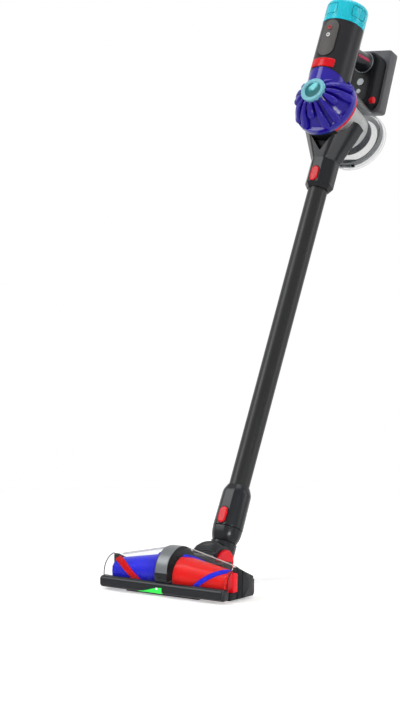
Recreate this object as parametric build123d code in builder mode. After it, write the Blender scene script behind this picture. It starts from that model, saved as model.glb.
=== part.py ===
from build123d import *
import os
from math import atan, cos, radians, sin, tan

# Cordless stick vacuum: a floor head with two tapered brush cones, a leaning wand and a handheld
# cyclone machine with its battery. Millimetres, +Z up, the floor at Z = 0, the head's front at -Y.
# The origin is the middle of the head's sole pad, on the floor.

os.makedirs("parts", exist_ok=True)

# Clearances
running_gap = 0.4      # between faces that move past each other
journal_gap = 0.05     # radial play of a shaft in its bore
seat_gap = 0.2         # play of a sealed inner piece in its pocket
end_play = 1.0         # least room between a turning piece's end and the wall beside it
belt_play = 0.1        # belt to pulley
cut_size = 200.0       # larger than any section that a plain cut trims

# Floor head
head_half_length = 129.0   # half the head's width along X
end_thickness = 9.0        # end housings
pad_half_width = 64.0      # sole pad and motor bay
pad_depth = 30.0
bay_height = 46.0
bay_wall = 3.0
lid_thickness = 3.0
beam_depth = 29.0          # rear wall of the brush chamber
beam_top = 36.0
sole_lift = 3.0            # beam, pods and end housings above the floor
brush_setback = 46.0       # motor bay front to the cone axis
cone_inner_radius = 29.0
cone_outer_radius = 20.5
strip_height = 5.0         # pile strips stand this far out of the cones
strip_root = 1.2           # and this deep in them
strip_width = 10.0
strip_turn = 180.0         # degrees that a strip winds along its cone
strip_phase = 280.0        # where the first strip meets the inner end, 90 is up
strip_margin = 0.03        # share of the cone left bare at each end
strip_sections = 8
floor_gap = 0.6            # pile to floor
cone_edge = 2.0
cover_gap = 2.8            # pile to clear cover at its outer end
cover_gap_in = 6.3         # and at its inner end
cover_shift = 2.5          # inner end of the cover, up and back from the cone axis
cover_wall = 2.2
arch_half_width = 12.5     # bridge over the drive hub
arch_web = 4.5
arch_proud = 1.5           # bridge above the clear covers
arch_wall = 4.0
arch_edge = 2.0
journal_radius = 4.0       # outer cone journals
journal_length = 6.0
hub_radius = 16.0          # drive pulley between the cones
hub_width = 10.0
hub_journal_radius = 7.0
coupling_radius = 6.0      # ball end in each cone
coupling_neck_radius = 4.5
coupling_reach = 4.0       # cone's inner end to the ball centre
motor_radius = 11.5        # brush motor in the bay
motor_length = 44.0
motor_height = 29.0
motor_start = 14.0
pulley_radius = 7.0
pulley_shaft_radius = 2.5
pulley_shaft_depth = 16.0
belt_thickness = 1.5
belt_width = 9.0
bar_lead = 34.0            # cone axis to the front bar's axis
bar_depth = 20.0
bar_height = 20.0
bar_bottom = 4.0
bar_corner = 7.0
bar_end_round = 5.0
cap_side_inset = 5.0       # red end caps: depth in the end housings
cap_proud = 1.0
cap_margin = 1.5
cap_bottom = 16.0
sole_strip_half_length = 75.0
sole_strip_lift = 2.0
light_radius = 3.2
light_offset = -13.0       # dust light, left of the middle of the bar
light_length = 6.0
light_lift = 0.8           # lens above the bar's underside
wheel_radius = 8.0
wheel_width = 14.0
wheel_inset = 44.0         # wheels in from the head's ends
wheel_axle_radius = 2.5
wheel_axle_reach = 4.0
pod_wall = 6.0
wheel_edge = 1.5
screw_radius = 2.2
screw_span = 110.0
screw_head_height = 1.0

# Neck
drum_radius = 29.0
drum_half_width = 25.0
drum_round = 4.0
drum_gap = 0.8             # sole pad to drum
pivot_height = 39.5
pin_radius = 6.0
yoke_radius = 22.5
yoke_thickness = 5.0
yoke_foot_low = 8.0
yoke_foot_high = 44.0
neck_top_gap = 1.2         # drum housing to the neck socket
neck_radius = 23.0         # round housing between the drum and the neck socket
neck_cut = 20.0            # its rear starts this far above the pivot
groove_radius = 1.2        # finger grooves across the drum's front
groove_count = 6
groove_step = 13.0
groove_start = 118.0
lean = 26.0                # degrees that the wand leans back from upright
wand_offset = 21.9         # wand axis behind the pivot
stub_radius = 17.0
stub_bore_radius = 13.0

# Wand
tube_radius = 18.0
tube_wall = 1.5
tube_visible = 576.0       # tube between its two collars
tube_insert = 35.0         # tube length in the lower collar
socket_rise = 12.6         # drum top to the bottom of the neck socket
socket_length = 26.0
socket_bottom_radius = 21.0
socket_spigot_radius = 20.0
socket_spigot_length = 36.0
collar_length = 77.5
collar_radius = 26.6
collar_top_radius = 25.3
collar_taper = 12.0        # cone from the collar onto the tube
collar_lip = 1.5           # collar's edge on the tube
collar_stop = 3.0          # ledge that the tube stands on
collar_seam = 0.6          # groove between the socket and the collar
tube_seat = 44.0           # tube length in the inlet neck
button_width = 16.0        # red release buttons
button_length = 29.0
button_proud = 1.3
button_depth = 4.0
button_reach = 14.0        # longer than any button is deep
collar_button_rise = 17.0  # above the collar's bottom

# Inlet neck and bin
inlet_length = 56.0
inlet_radius = 25.5
inlet_chamfer = 8.0
inlet_button_rise = 23.0
airway_radius = 15.0
fork_half_width = 56.0
fork_depth = 70.0
fork_shift = 8.0           # fork's middle ahead of the wand axis
fork_clear = 29.5          # fork's top below the cap ring's middle
fork_corner = 30.0
notch_half_width = 25.0    # triangular hollow between the fork's arms
notch_height = 44.0
notch_depth = 9.0
notch_rise = 12.0
cyclone_tilt = 5.0         # degrees that the cyclone's front end tips up
cap_lead = 99.0            # cap ring ahead of the wand axis
cyclone_rise = 155.5       # cap ring's middle above the inlet's bottom
cap_radius = 24.0
cap_inner_radius = 16.0
cap_thickness = 8.0
bowl_thickness = 1.6
bowl_curve = 60.0          # radius of the bowl's dished face
cap_seat = 5.0             # cap ring's face to the pack's front
cap_edge = 2.5
sleeve_radius = 13.0
sleeve_wall = 3.0
sleeve_length = 60.0
pack_radius = 60.0
pack_length = 60.0         # cap ring's face to the pack's rear face
pack_skirt = 13.0          # plain rim at the pack's rear
collar_step = 0.5          # pack's collar inside the shell's surface
pack_shoulder = 18.0       # depth of the dome where its slope eases
pack_shoulder_radius = 47.0
valley_depth = 8.0         # hollows between the fingers
finger_groups = 5          # one short and two long fingers each
finger_width = 15.0
finger_reach = 62.0        # long fingers, past the rim
short_finger_reach = 47.0
bin_ring_radius = 58.5
bin_ring_length = 6.0
bin_radius = 56.5
bin_wall = 2.2
bin_length = 110.0
shroud_radius = 38.0
shroud_wall = 1.5
shroud_length = 58.0
flange_radius = 50.0
flange_thickness = 3.0
foot_length = 30.0
foot_face_radius = 21.0    # flat end of the foot
foot_bow = 2.0
foot_shoulder = 18.0       # where its side has bowed in that far
foot_wall = 3.0
door_depth = 12.0
door_round = 6.0
door_wall = 2.4
door_lip = 4.0             # door's rim outside the bin's wall
hinge_pin_radius = 1.5
hinge_boss_radius = 3.0
hinge_half_width = 7.5
hinge_lug_width = 6.0
hinge_setback = 4.0        # hinge axis ahead of the bin's end
hinge_overlap = 2.0        # hinge arm in the door's rim

# Motor body
shell_lead = 55.0          # motor axis ahead of the wand axis
shell_radius = 38.5
shell_wall = 3.0
shell_front_lift = 49.5    # shell's front lower edge above the cap ring's middle
shell_back_lift = 16.5
motor_lift = 11.0          # motor's floor above the front edge
shell_room = 93.0          # motor's floor to the shell's top
stator_radius = 30.0
stator_length = 48.0
fan_shaft_radius = 4.0
fan_radius = 32.0
fan_height = 14.0
fan_gap = 4.0
fan_hub_radius = 9.0
fan_blades = 11
fan_blade_thickness = 2.0
fan_blade_inset = 1.0
fan_plate = 2.5
lever_height = 17.0
lever_gap = 0.8            # lever's lower edge above the shell's front edge
lever_thickness = 1.8
lever_angle = 38.0         # degrees to each side of the front
panel_lift = 23.0          # panel above the shell's front edge
panel_top_gap = 7.0        # panel to the shell's top
panel_width = 32.0
panel_thickness = 1.4
power_drop = 24.0          # power key below the shell's top
power_radius = 5.0
key_pitch = 15.0
boost_radius = 4.0
key_depth = 6.0
key_proud = 0.8
rear_cap_radius = 39.0
rear_cap_height = 39.0
rear_cap_wall = 2.2
rear_cap_round = 8.0
media_radius = 35.0
media_wall = 8.0
media_gap = 3.0
grip_drop = 44.0           # grip axis below the shell's top
grip_tilt = 12.0           # degrees that the grip climbs to the rear
grip_radius = 17.0
trim_width = 5.0
trim_proud = 0.5
trim_depth = 1.5
trim_margin = 6.0

# Battery
pack_tilt = 4.0            # degrees
battery_lead = 71.8        # battery's front face behind the wand axis
battery_foot_drop = 63.8   # battery's lower end below the grip
battery_width = 71.0
battery_height = 126.0
battery_depth = 22.5
battery_corner = 9.0
battery_edge = 2.5
cell_radius = 9.1
cell_length = 65.0
cell_count = 6
cell_pitch = 18.6
dock_width = 59.0
dock_height = 110.0
dock_depth = 29.8
dock_corner = 16.0
dock_lift = 55.3           # dock's middle above the battery's lower end
dock_edge = 5.0
disc_large_radius = 7.0
disc_small_radius = 4.5
disc_thickness = 1.2
disc_large_lift = 47.3     # above the battery's lower end
disc_small_lift = 28.3
latch_radius = 6.3
latch_depth = 7.0
latch_proud = 1.0
latch_lift = 13.3
latch_setback = 21.8       # from the battery's front face
latch_travel = 2.5
cell_top_wall = 3.0
charge_radius = 2.8
charge_depth = 8.0
charge_lift = 5.7          # charging socket above the battery's lower end

# Worked-out places in the head
wall_x = head_half_length - end_thickness
cone_tilt = atan((cone_inner_radius - cone_outer_radius) / (wall_x - arch_half_width))
cone_start = arch_half_width + end_play + cone_inner_radius * sin(cone_tilt)
cone_end = wall_x - end_play - cone_outer_radius * sin(cone_tilt)
cone_length = (cone_end - cone_start) / cos(cone_tilt)
cone_axis_y = -pad_depth / 2 - brush_setback
cone_axis_z = cone_inner_radius + strip_height + floor_gap


def axis_height(x):
    """Height of the cone axis at the distance x from the middle of the head."""
    return cone_axis_z - (x - cone_start) * tan(cone_tilt)


hub_z = axis_height(cone_start + coupling_reach)
cover_radius_in = cone_inner_radius + strip_height + cover_gap_in + cover_wall
cover_radius_out = cone_outer_radius + strip_height + cover_gap + cover_wall
arch_radius = cover_radius_in + arch_proud
cover_y = cone_axis_y + cover_shift
cover_in_z = axis_height(arch_half_width) + cover_shift
arch_z = hub_z + cover_shift
bar_y = cone_axis_y - bar_lead
bar_z = bar_bottom + bar_height / 2
bar_top = bar_bottom + bar_height
bar_rear = bar_y + bar_depth / 2
beam_y = -pad_depth / 2 - beam_depth / 2
bay_floor = motor_height - motor_radius - seat_gap
belt_slot_half = belt_width / 2 + end_play
belt_slot_floor = hub_z - hub_radius - belt_thickness - end_play
wheel_x = head_half_length - wheel_inset
pod_half_width = wheel_width / 2 + end_play + pod_wall
pod_depth = 2 * (wheel_radius + end_play)
pod_y = -pad_depth / 2 + pod_depth / 2
pod_top = 2 * wheel_radius + end_play + bay_wall
axle_half_length = wheel_width / 2 + end_play + wheel_axle_reach
light_bottom = bar_bottom + light_lift
light_y = bar_y - bar_corner
belt_slot_height = 2 * (hub_radius + belt_thickness + end_play)
pivot_y = pad_depth / 2 + drum_gap + drum_radius
yoke_x = drum_half_width + running_gap
cone_plane = Plane(
    origin=(cone_start, cone_axis_y, cone_axis_z),
    x_dir=(0, 1, 0),
    z_dir=(cos(cone_tilt), 0, -sin(cone_tilt)),
)


def turned_cone_plane(share, angle):
    """Plane across the cone axis at a share of its length, its x turned by the angle in degrees."""
    outward = cone_plane.x_dir * cos(radians(angle)) + cone_plane.y_dir * sin(radians(angle))
    place = cone_plane.origin + cone_plane.z_dir * (cone_length * share)
    return Plane(origin=place, x_dir=outward, z_dir=cone_plane.z_dir)


# Worked-out places along the wand: local x is X, local y points to the grip side, local z climbs the wand
up_wand = Vector(0, sin(radians(lean)), cos(radians(lean)))
to_back = Vector(0, cos(radians(lean)), -sin(radians(lean)))
pivot_point = Vector(0, pivot_y, pivot_height)
wand = Plane(origin=pivot_point + to_back * wand_offset, x_dir=(1, 0, 0), z_dir=up_wand)
wand_section = Plane(origin=wand.origin, x_dir=(1, 0, 0), z_dir=to_back * -1)
wand_axis = Axis(wand.origin, up_wand)
neck_section = Plane(origin=pivot_point, x_dir=to_back, z_dir=(1, 0, 0))
socket_bottom = drum_radius + socket_rise
collar_bottom = socket_bottom + socket_length
collar_top = collar_bottom + collar_length
inlet_bottom = collar_top + tube_visible
tube_bottom = collar_top - tube_insert
neck_top = socket_bottom - neck_top_gap
neck_rear = wand_offset + neck_radius
stub_top = collar_bottom - end_play


def machine_point(back, rise):
    """Point in the middle plane: back from the wand axis, and up from the inlet's bottom."""
    return wand.origin + to_back * back + up_wand * (inlet_bottom + rise)


def front_plane(back, along):
    """Plane that faces the front, with local y up the wand, at a distance along the wand."""
    place = wand.origin + to_back * back + up_wand * along
    return Plane(origin=place, x_dir=(1, 0, 0), z_dir=to_back * -1)


# Rises above the inlet's bottom, and the dock's places from the battery's middle
fork_height = cyclone_rise - inlet_length - fork_clear
shell_front_rise = cyclone_rise + shell_front_lift
shell_back_rise = cyclone_rise + shell_back_lift
shell_floor_rise = shell_front_rise + motor_lift
shell_top_rise = shell_floor_rise + shell_room
panel_rise = shell_front_rise + panel_lift
panel_length = shell_top_rise - panel_top_gap - panel_rise
power_rise = shell_top_rise - power_drop
boost_rise = power_rise - key_pitch
grip_rise = shell_top_rise - grip_drop
battery_rise = grip_rise - battery_foot_drop + battery_height / 2
dock_drop = battery_height / 2 - dock_lift
disc_large_rise = disc_large_lift - battery_height / 2
disc_small_rise = disc_small_lift - battery_height / 2
latch_rise = latch_lift - battery_height / 2

# Cyclone: local z points out of the cap ring, local y up the wand, the ring's face is at local z = 0
cyclone_out = to_back * -cos(radians(cyclone_tilt)) + up_wand * sin(radians(cyclone_tilt))
cyclone = Plane(origin=machine_point(-cap_lead, cyclone_rise), x_dir=(1, 0, 0), z_dir=cyclone_out)
cyclone_section = Plane(origin=cyclone.origin, x_dir=(1, 0, 0), z_dir=cyclone.y_dir * -1)
cyclone_axis = Axis(cyclone.origin, cyclone_out)
bin_start = pack_length + bin_ring_length
bin_end = bin_start + bin_length
bin_clear_radius = bin_ring_radius + running_gap
finger_step = 360 / finger_groups / 3
foot_start = -pack_length - shroud_length
door_radius = bin_radius + door_lip
hinge_radius = bin_radius + hinge_boss_radius
hinge_lug_x = hinge_half_width + hinge_lug_width / 2
hinge_reach = hinge_setback + running_gap + hinge_overlap
hinge_section = Plane(
    origin=cyclone.from_local_coords((0, -hinge_radius, hinge_setback - bin_end)),
    x_dir=cyclone_out,
    z_dir=(1, 0, 0),
)

# Motor body: local z climbs along the motor axis from the inlet's bottom level
motor = Plane(origin=machine_point(-shell_lead, 0), x_dir=(1, 0, 0), z_dir=up_wand)
motor_axis = Axis(motor.origin, up_wand)
shell_slope = atan((shell_front_rise - shell_back_rise) / (2 * shell_radius))
shell_cut = Plane(
    origin=machine_point(-shell_lead, (shell_front_rise + shell_back_rise) / 2),
    x_dir=(1, 0, 0),
    z_dir=up_wand * cos(shell_slope) + to_back * sin(shell_slope),
)

fan_rise = shell_floor_rise + stator_length + fan_gap
key_back = shell_radius + panel_thickness + key_proud - key_depth
lever_spread = 2 * shell_radius * tan(radians(lever_angle))

# Grip and battery: the grip's local z runs to the rear, the battery's local z out of its rear face
grip_dir = to_back * cos(radians(grip_tilt)) + up_wand * sin(radians(grip_tilt))
grip = Plane(origin=machine_point(-shell_lead, grip_rise), x_dir=(-1, 0, 0), z_dir=grip_dir)
battery_out = to_back * cos(radians(pack_tilt)) + up_wand * sin(radians(pack_tilt))
battery = Plane(origin=machine_point(battery_lead, battery_rise), x_dir=(-1, 0, 0), z_dir=battery_out)
battery_axis = Axis(battery.origin, battery_out)
dock_front = battery.offset(-dock_depth)
trim_length = shell_lead + battery_lead - dock_depth - shell_radius - 2 * trim_margin
cell_middle = battery_height / 2 - cell_top_wall - cell_count * cell_pitch / 2
latch_plane = Plane(
    origin=battery.from_local_coords((-dock_width / 2, latch_rise, -latch_setback)),
    x_dir=battery.y_dir,
    z_dir=(1, 0, 0),
)
charge_plane = Plane(
    origin=battery.from_local_coords((0, charge_lift - battery_height / 2, battery_depth)),
    x_dir=(1, 0, 0),
    z_dir=battery_out,
)


def keep(piece, name):
    """Label a finished piece and write it under its node's name."""
    piece.part.label = name
    export_step(piece.part, f"parts/{name}.step")


# Base tray of the floor head: sole pad with motor bay, rear beam and roller pods
with BuildPart() as head_base:
    with BuildSketch(Plane.XY):
        Rectangle(2 * pad_half_width, pad_depth)
    extrude(amount=bay_height)
    with BuildSketch(Plane.XY.offset(sole_lift)):
        with Locations((0, beam_y)):
            Rectangle(2 * wall_x, beam_depth)
    extrude(amount=beam_top - sole_lift)
    with BuildSketch(Plane.XY.offset(sole_lift)):
        with Locations((wheel_x, pod_y), (-wheel_x, pod_y)):
            Rectangle(2 * pod_half_width, pod_depth)
    extrude(amount=pod_top - sole_lift)
    # The brush chamber and the seat of the drive arch are hollowed out of the beam
    for side in (1, -1):
        with BuildSketch(Plane.YZ.offset(side * arch_half_width)):
            with Locations((cover_y, cover_in_z)):
                Circle(cover_radius_in)
        with BuildSketch(Plane.YZ.offset(side * wall_x)):
            with Locations((cone_axis_y, axis_height(wall_x))):
                Circle(cover_radius_out)
        loft(ruled=True, mode=Mode.SUBTRACT)
    with BuildSketch(Plane.YZ):
        with Locations((cover_y, arch_z)):
            Circle(arch_radius)
    extrude(amount=arch_half_width, both=True, mode=Mode.SUBTRACT)
    with BuildSketch(Plane.XY.offset(bay_floor)):
        Rectangle(2 * (pad_half_width - bay_wall), pad_depth - 2 * bay_wall)
    extrude(amount=bay_height, mode=Mode.SUBTRACT)
    with BuildSketch(Plane.XY.offset(belt_slot_floor)):
        with Locations((0, beam_y)):
            Rectangle(2 * belt_slot_half, beam_depth + 2 * bay_wall)
    extrude(amount=bay_height, mode=Mode.SUBTRACT)
    # Each roller has a pocket that is open to the floor, and a bore for its axle ends
    with BuildSketch(Plane.XY):
        with Locations((wheel_x, pod_y), (-wheel_x, pod_y)):
            Rectangle(wheel_width + 2 * end_play, 2 * wheel_radius + end_play)
    extrude(amount=2 * wheel_radius + end_play, mode=Mode.SUBTRACT)
    for side in (1, -1):
        with BuildSketch(Plane.YZ.offset(side * (wheel_x - axle_half_length))):
            with Locations((pod_y, wheel_radius)):
                Circle(wheel_axle_radius + journal_gap)
        extrude(amount=side * 2 * axle_half_length, mode=Mode.SUBTRACT)
keep(head_base, "head_base")

# Lid over the motor bay, and its screws
with BuildPart() as bay_lid:
    with BuildSketch(Plane.XY.offset(bay_height)):
        Rectangle(2 * pad_half_width, pad_depth)
    extrude(amount=lid_thickness)
    fillet(bay_lid.edges().group_by(Axis.Z)[-1], radius=lid_thickness / 2)
    with BuildSketch(Plane.XY.offset(bay_height)):
        with GridLocations(screw_span, 0, 2, 1):
            Circle(screw_radius / 2)
    extrude(amount=lid_thickness, mode=Mode.SUBTRACT)
keep(bay_lid, "bay_lid")

with BuildPart() as head_screws:
    with BuildSketch(Plane.XY.offset(bay_height)):
        with GridLocations(screw_span, 0, 2, 1):
            Circle(screw_radius / 2)
    extrude(amount=lid_thickness)
    with BuildSketch(Plane.XY.offset(bay_height + lid_thickness)):
        with GridLocations(screw_span, 0, 2, 1):
            Circle(screw_radius)
    extrude(amount=screw_head_height)
keep(head_screws, "head_screws")

# Front bar with the dust light, and the soft strip under it
with BuildPart() as front_bar:
    with BuildSketch(Plane.YZ.offset(-head_half_length)):
        with Locations((bar_y, bar_z)):
            RectangleRounded(bar_depth, bar_height, bar_corner)
    extrude(amount=2 * head_half_length)
    bar_ends = front_bar.faces().filter_by(Axis.X)
    fillet(bar_ends.edges(), radius=bar_end_round)
    # Its rear is hollowed round the clear covers and the bridge between them
    with BuildSketch(Plane.YZ):
        with Locations((cover_y, arch_z)):
            Circle(arch_radius)
    extrude(amount=arch_half_width, both=True, mode=Mode.SUBTRACT)
    for side in (1, -1):
        with BuildSketch(Plane.YZ.offset(side * arch_half_width)):
            with Locations((cover_y, cover_in_z)):
                Circle(cover_radius_in)
        with BuildSketch(Plane.YZ.offset(side * wall_x)):
            with Locations((cone_axis_y, axis_height(wall_x))):
                Circle(cover_radius_out)
        loft(ruled=True, mode=Mode.SUBTRACT)
    with BuildSketch(Plane.XY.offset(light_bottom)):
        with Locations((light_offset, light_y)):
            Circle(light_radius)
    extrude(amount=light_length, mode=Mode.SUBTRACT)
    with BuildSketch(Plane.XY):
        with Locations((light_offset, light_y)):
            Circle(light_radius)
    extrude(amount=light_bottom, mode=Mode.SUBTRACT)
keep(front_bar, "front_bar")

with BuildPart() as light_lens:
    with BuildSketch(Plane.XY.offset(light_bottom)):
        with Locations((light_offset, light_y)):
            Circle(light_radius)
    extrude(amount=light_length)
keep(light_lens, "light_lens")

with BuildPart() as sole_strip:
    with BuildSketch(Plane.XY.offset(sole_strip_lift)):
        with Locations((0, bar_y)):
            Rectangle(2 * sole_strip_half_length, bar_depth - 2 * bar_corner)
    extrude(amount=bar_bottom - sole_strip_lift)
keep(sole_strip, "sole_strip")

# End of the head, right then left: red cap, housing with the cone's bearing, clear cover
with BuildPart() as end_cap_right:
    with BuildSketch(Plane.YZ.offset(head_half_length - cap_side_inset)):
        with Locations((cone_axis_y, axis_height(wall_x))):
            Circle(cover_radius_out - cap_margin)
        with Locations((cone_axis_y - journal_radius, cap_bottom)):
            Rectangle(cut_size, cut_size, align=(Align.MAX, Align.MIN), mode=Mode.INTERSECT)
        with Locations((bar_rear, bar_top)):
            Rectangle(cut_size, cut_size, align=(Align.MAX, Align.MAX), mode=Mode.SUBTRACT)
    extrude(amount=cap_side_inset + cap_proud)
keep(end_cap_right, "end_cap_right")

with BuildPart() as end_housing_right:
    with BuildSketch(Plane.YZ.offset(wall_x)):
        with Locations((cone_axis_y, axis_height(wall_x))):
            Circle(cover_radius_out)
        with BuildLine():
            Polyline(
                (cone_axis_y, sole_lift),
                (-pad_depth / 2, sole_lift),
                (-pad_depth / 2, beam_top),
                (cone_axis_y, axis_height(wall_x) + cover_radius_out),
                close=True,
            )
        make_face()
        with Locations((cone_axis_y, sole_lift)):
            Rectangle(cut_size, cut_size, align=(Align.CENTER, Align.MAX), mode=Mode.SUBTRACT)
        with Locations((bar_rear, bar_top)):
            Rectangle(cut_size, cut_size, align=(Align.MAX, Align.MAX), mode=Mode.SUBTRACT)
    extrude(amount=end_thickness)
    with BuildSketch(cone_plane.offset(cone_length)):
        Circle(journal_radius + journal_gap)
    extrude(amount=journal_length + running_gap, mode=Mode.SUBTRACT)
    add(end_cap_right.part, mode=Mode.SUBTRACT)
keep(end_housing_right, "end_housing_right")

with BuildPart() as cover_right:
    for inset, mode in ((0, Mode.ADD), (cover_wall, Mode.SUBTRACT)):
        with BuildSketch(Plane.YZ.offset(arch_half_width)):
            with Locations((cover_y, cover_in_z)):
                Circle(cover_radius_in - inset)
        with BuildSketch(Plane.YZ.offset(wall_x)):
            with Locations((cone_axis_y, axis_height(wall_x))):
                Circle(cover_radius_out - inset)
        loft(ruled=True, mode=mode)
    split(bisect_by=Plane.XY.offset(bar_top), keep=Keep.TOP)
keep(cover_right, "cover_right")

with BuildPart() as end_cap_left:
    mirror(end_cap_right.part, about=Plane.YZ)
keep(end_cap_left, "end_cap_left")

with BuildPart() as end_housing_left:
    mirror(end_housing_right.part, about=Plane.YZ)
keep(end_housing_left, "end_housing_left")

with BuildPart() as cover_left:
    mirror(cover_right.part, about=Plane.YZ)
keep(cover_left, "cover_left")

# Bridge over the drive hub: a rim on two webs that carry the hub, open to the rear for the belt
with BuildPart() as drive_arch:
    with BuildSketch(Plane.YZ):
        with Locations((cover_y, arch_z)):
            Circle(arch_radius)
    extrude(amount=arch_half_width, both=True)
    fillet(drive_arch.edges().filter_by(GeomType.CIRCLE), radius=arch_edge)
    split(bisect_by=Plane.XY.offset(bar_top), keep=Keep.TOP)
    with BuildSketch(Plane.YZ):
        with Locations((cover_y, arch_z)):
            Circle(arch_radius - arch_wall)
        with Locations((cone_axis_y, belt_slot_floor)):
            Rectangle(cut_size, belt_slot_height, align=(Align.MIN, Align.MIN))
    extrude(amount=arch_half_width - arch_web, both=True, mode=Mode.SUBTRACT)
    with BuildSketch(Plane.YZ):
        with Locations((cone_axis_y, hub_z)):
            Circle(hub_journal_radius + journal_gap)
    extrude(amount=arch_half_width, both=True, mode=Mode.SUBTRACT)
keep(drive_arch, "drive_arch")

# Drive: hub with a ball end for each cone, belt, motor pulley with its shaft, motor
with BuildPart() as drive_hub:
    for radius, half_width in (
        (hub_radius, hub_width / 2),
        (hub_journal_radius, arch_half_width),
        (coupling_neck_radius, cone_start + coupling_reach),
    ):
        with BuildSketch(Plane.YZ):
            with Locations((cone_axis_y, hub_z)):
                Circle(radius)
        extrude(amount=half_width, both=True)
    with Locations(
        (cone_start + coupling_reach, cone_axis_y, hub_z),
        (-cone_start - coupling_reach, cone_axis_y, hub_z),
    ):
        Sphere(coupling_radius)
keep(drive_hub, "drive_hub")

with BuildPart() as drive_belt:
    for extra, mode in ((belt_play + belt_thickness, Mode.ADD), (belt_play, Mode.SUBTRACT)):
        with BuildSketch(Plane.YZ):
            with BuildLine():
                CenterArc((cone_axis_y, hub_z), hub_radius + extra, 0, 360)
                CenterArc((0, motor_height), pulley_radius + extra, 0, 360)
            make_hull()
        extrude(amount=belt_width / 2, both=True, mode=mode)
keep(drive_belt, "drive_belt")

with BuildPart() as motor_pulley:
    with BuildSketch(Plane.YZ):
        with Locations((0, motor_height)):
            Circle(pulley_radius)
    extrude(amount=hub_width / 2, both=True)
    with BuildSketch(Plane.YZ):
        with Locations((0, motor_height)):
            Circle(pulley_shaft_radius)
    extrude(amount=motor_start + pulley_shaft_depth)
keep(motor_pulley, "motor_pulley")

with BuildPart() as brush_motor:
    with BuildSketch(Plane.YZ.offset(motor_start)):
        with Locations((0, motor_height)):
            Circle(motor_radius)
    extrude(amount=motor_length)
    with BuildSketch(Plane.YZ.offset(motor_start)):
        with Locations((0, motor_height)):
            Circle(pulley_shaft_radius + journal_gap)
    extrude(amount=pulley_shaft_depth + end_play, mode=Mode.SUBTRACT)
keep(brush_motor, "brush_motor")

# Brush cones: two pile strips wind half a turn along each one, set in grooves
with BuildPart() as brush_strips_right:
    for start in (strip_phase, strip_phase + 180):
        for step in range(strip_sections + 1):
            share = strip_margin + (1 - 2 * strip_margin) * step / strip_sections
            radius = cone_inner_radius + (cone_outer_radius - cone_inner_radius) * share
            with BuildSketch(turned_cone_plane(share, start - strip_turn * share)):
                with Locations((radius + (strip_height - strip_root) / 2, 0)):
                    Rectangle(strip_height + strip_root, strip_width)
        loft()
keep(brush_strips_right, "brush_strips_right")

with BuildPart() as brush_cone_right:
    with BuildSketch(cone_plane):
        Circle(cone_inner_radius)
    with BuildSketch(cone_plane.offset(cone_length)):
        Circle(cone_outer_radius)
    loft(ruled=True)
    fillet(brush_cone_right.edges().filter_by(GeomType.CIRCLE), radius=cone_edge)
    with BuildSketch(cone_plane):
        Circle(coupling_radius + running_gap)
    extrude(amount=coupling_reach + coupling_radius + end_play, mode=Mode.SUBTRACT)
    with BuildSketch(cone_plane.offset(cone_length)):
        Circle(journal_radius)
    extrude(amount=journal_length)
    add(brush_strips_right.part, mode=Mode.SUBTRACT)
keep(brush_cone_right, "brush_cone_right")

with BuildPart() as brush_strips_left:
    mirror(brush_strips_right.part, about=Plane.YZ)
keep(brush_strips_left, "brush_strips_left")

with BuildPart() as brush_cone_left:
    mirror(brush_cone_right.part, about=Plane.YZ)
keep(brush_cone_left, "brush_cone_left")

# Rear rollers with their axle ends
with BuildPart() as wheel_right:
    with BuildSketch(Plane.YZ.offset(wheel_x)):
        with Locations((pod_y, wheel_radius)):
            Circle(wheel_radius)
    extrude(amount=wheel_width / 2, both=True)
    fillet(wheel_right.edges().filter_by(GeomType.CIRCLE), radius=wheel_edge)
    with BuildSketch(Plane.YZ.offset(wheel_x)):
        with Locations((pod_y, wheel_radius)):
            Circle(wheel_axle_radius)
    extrude(amount=axle_half_length - running_gap, both=True)
keep(wheel_right, "wheel_right")

with BuildPart() as wheel_left:
    mirror(wheel_right.part, about=Plane.YZ)
keep(wheel_left, "wheel_left")

# Red yoke plates, and the pin that they hold
with BuildPart() as yoke_right:
    with BuildSketch(Plane.YZ.offset(yoke_x)):
        with Locations((pivot_y, pivot_height)):
            Circle(yoke_radius)
        with BuildLine():
            Polyline(
                (pad_depth / 2, yoke_foot_low),
                (pad_depth / 2, yoke_foot_high),
                (pivot_y, pivot_height + yoke_radius),
                (pivot_y, pivot_height - yoke_radius),
                close=True,
            )
        make_face()
        with Locations((pivot_y, pivot_height)):
            Circle(pin_radius, mode=Mode.SUBTRACT)
    extrude(amount=yoke_thickness)
keep(yoke_right, "yoke_right")

with BuildPart() as yoke_left:
    mirror(yoke_right.part, about=Plane.YZ)
keep(yoke_left, "yoke_left")

with BuildPart() as pivot_pin:
    with BuildSketch(Plane.YZ):
        with Locations((pivot_y, pivot_height)):
            Circle(pin_radius)
    extrude(amount=yoke_x + yoke_thickness, both=True)
keep(pivot_pin, "pivot_pin")

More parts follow.
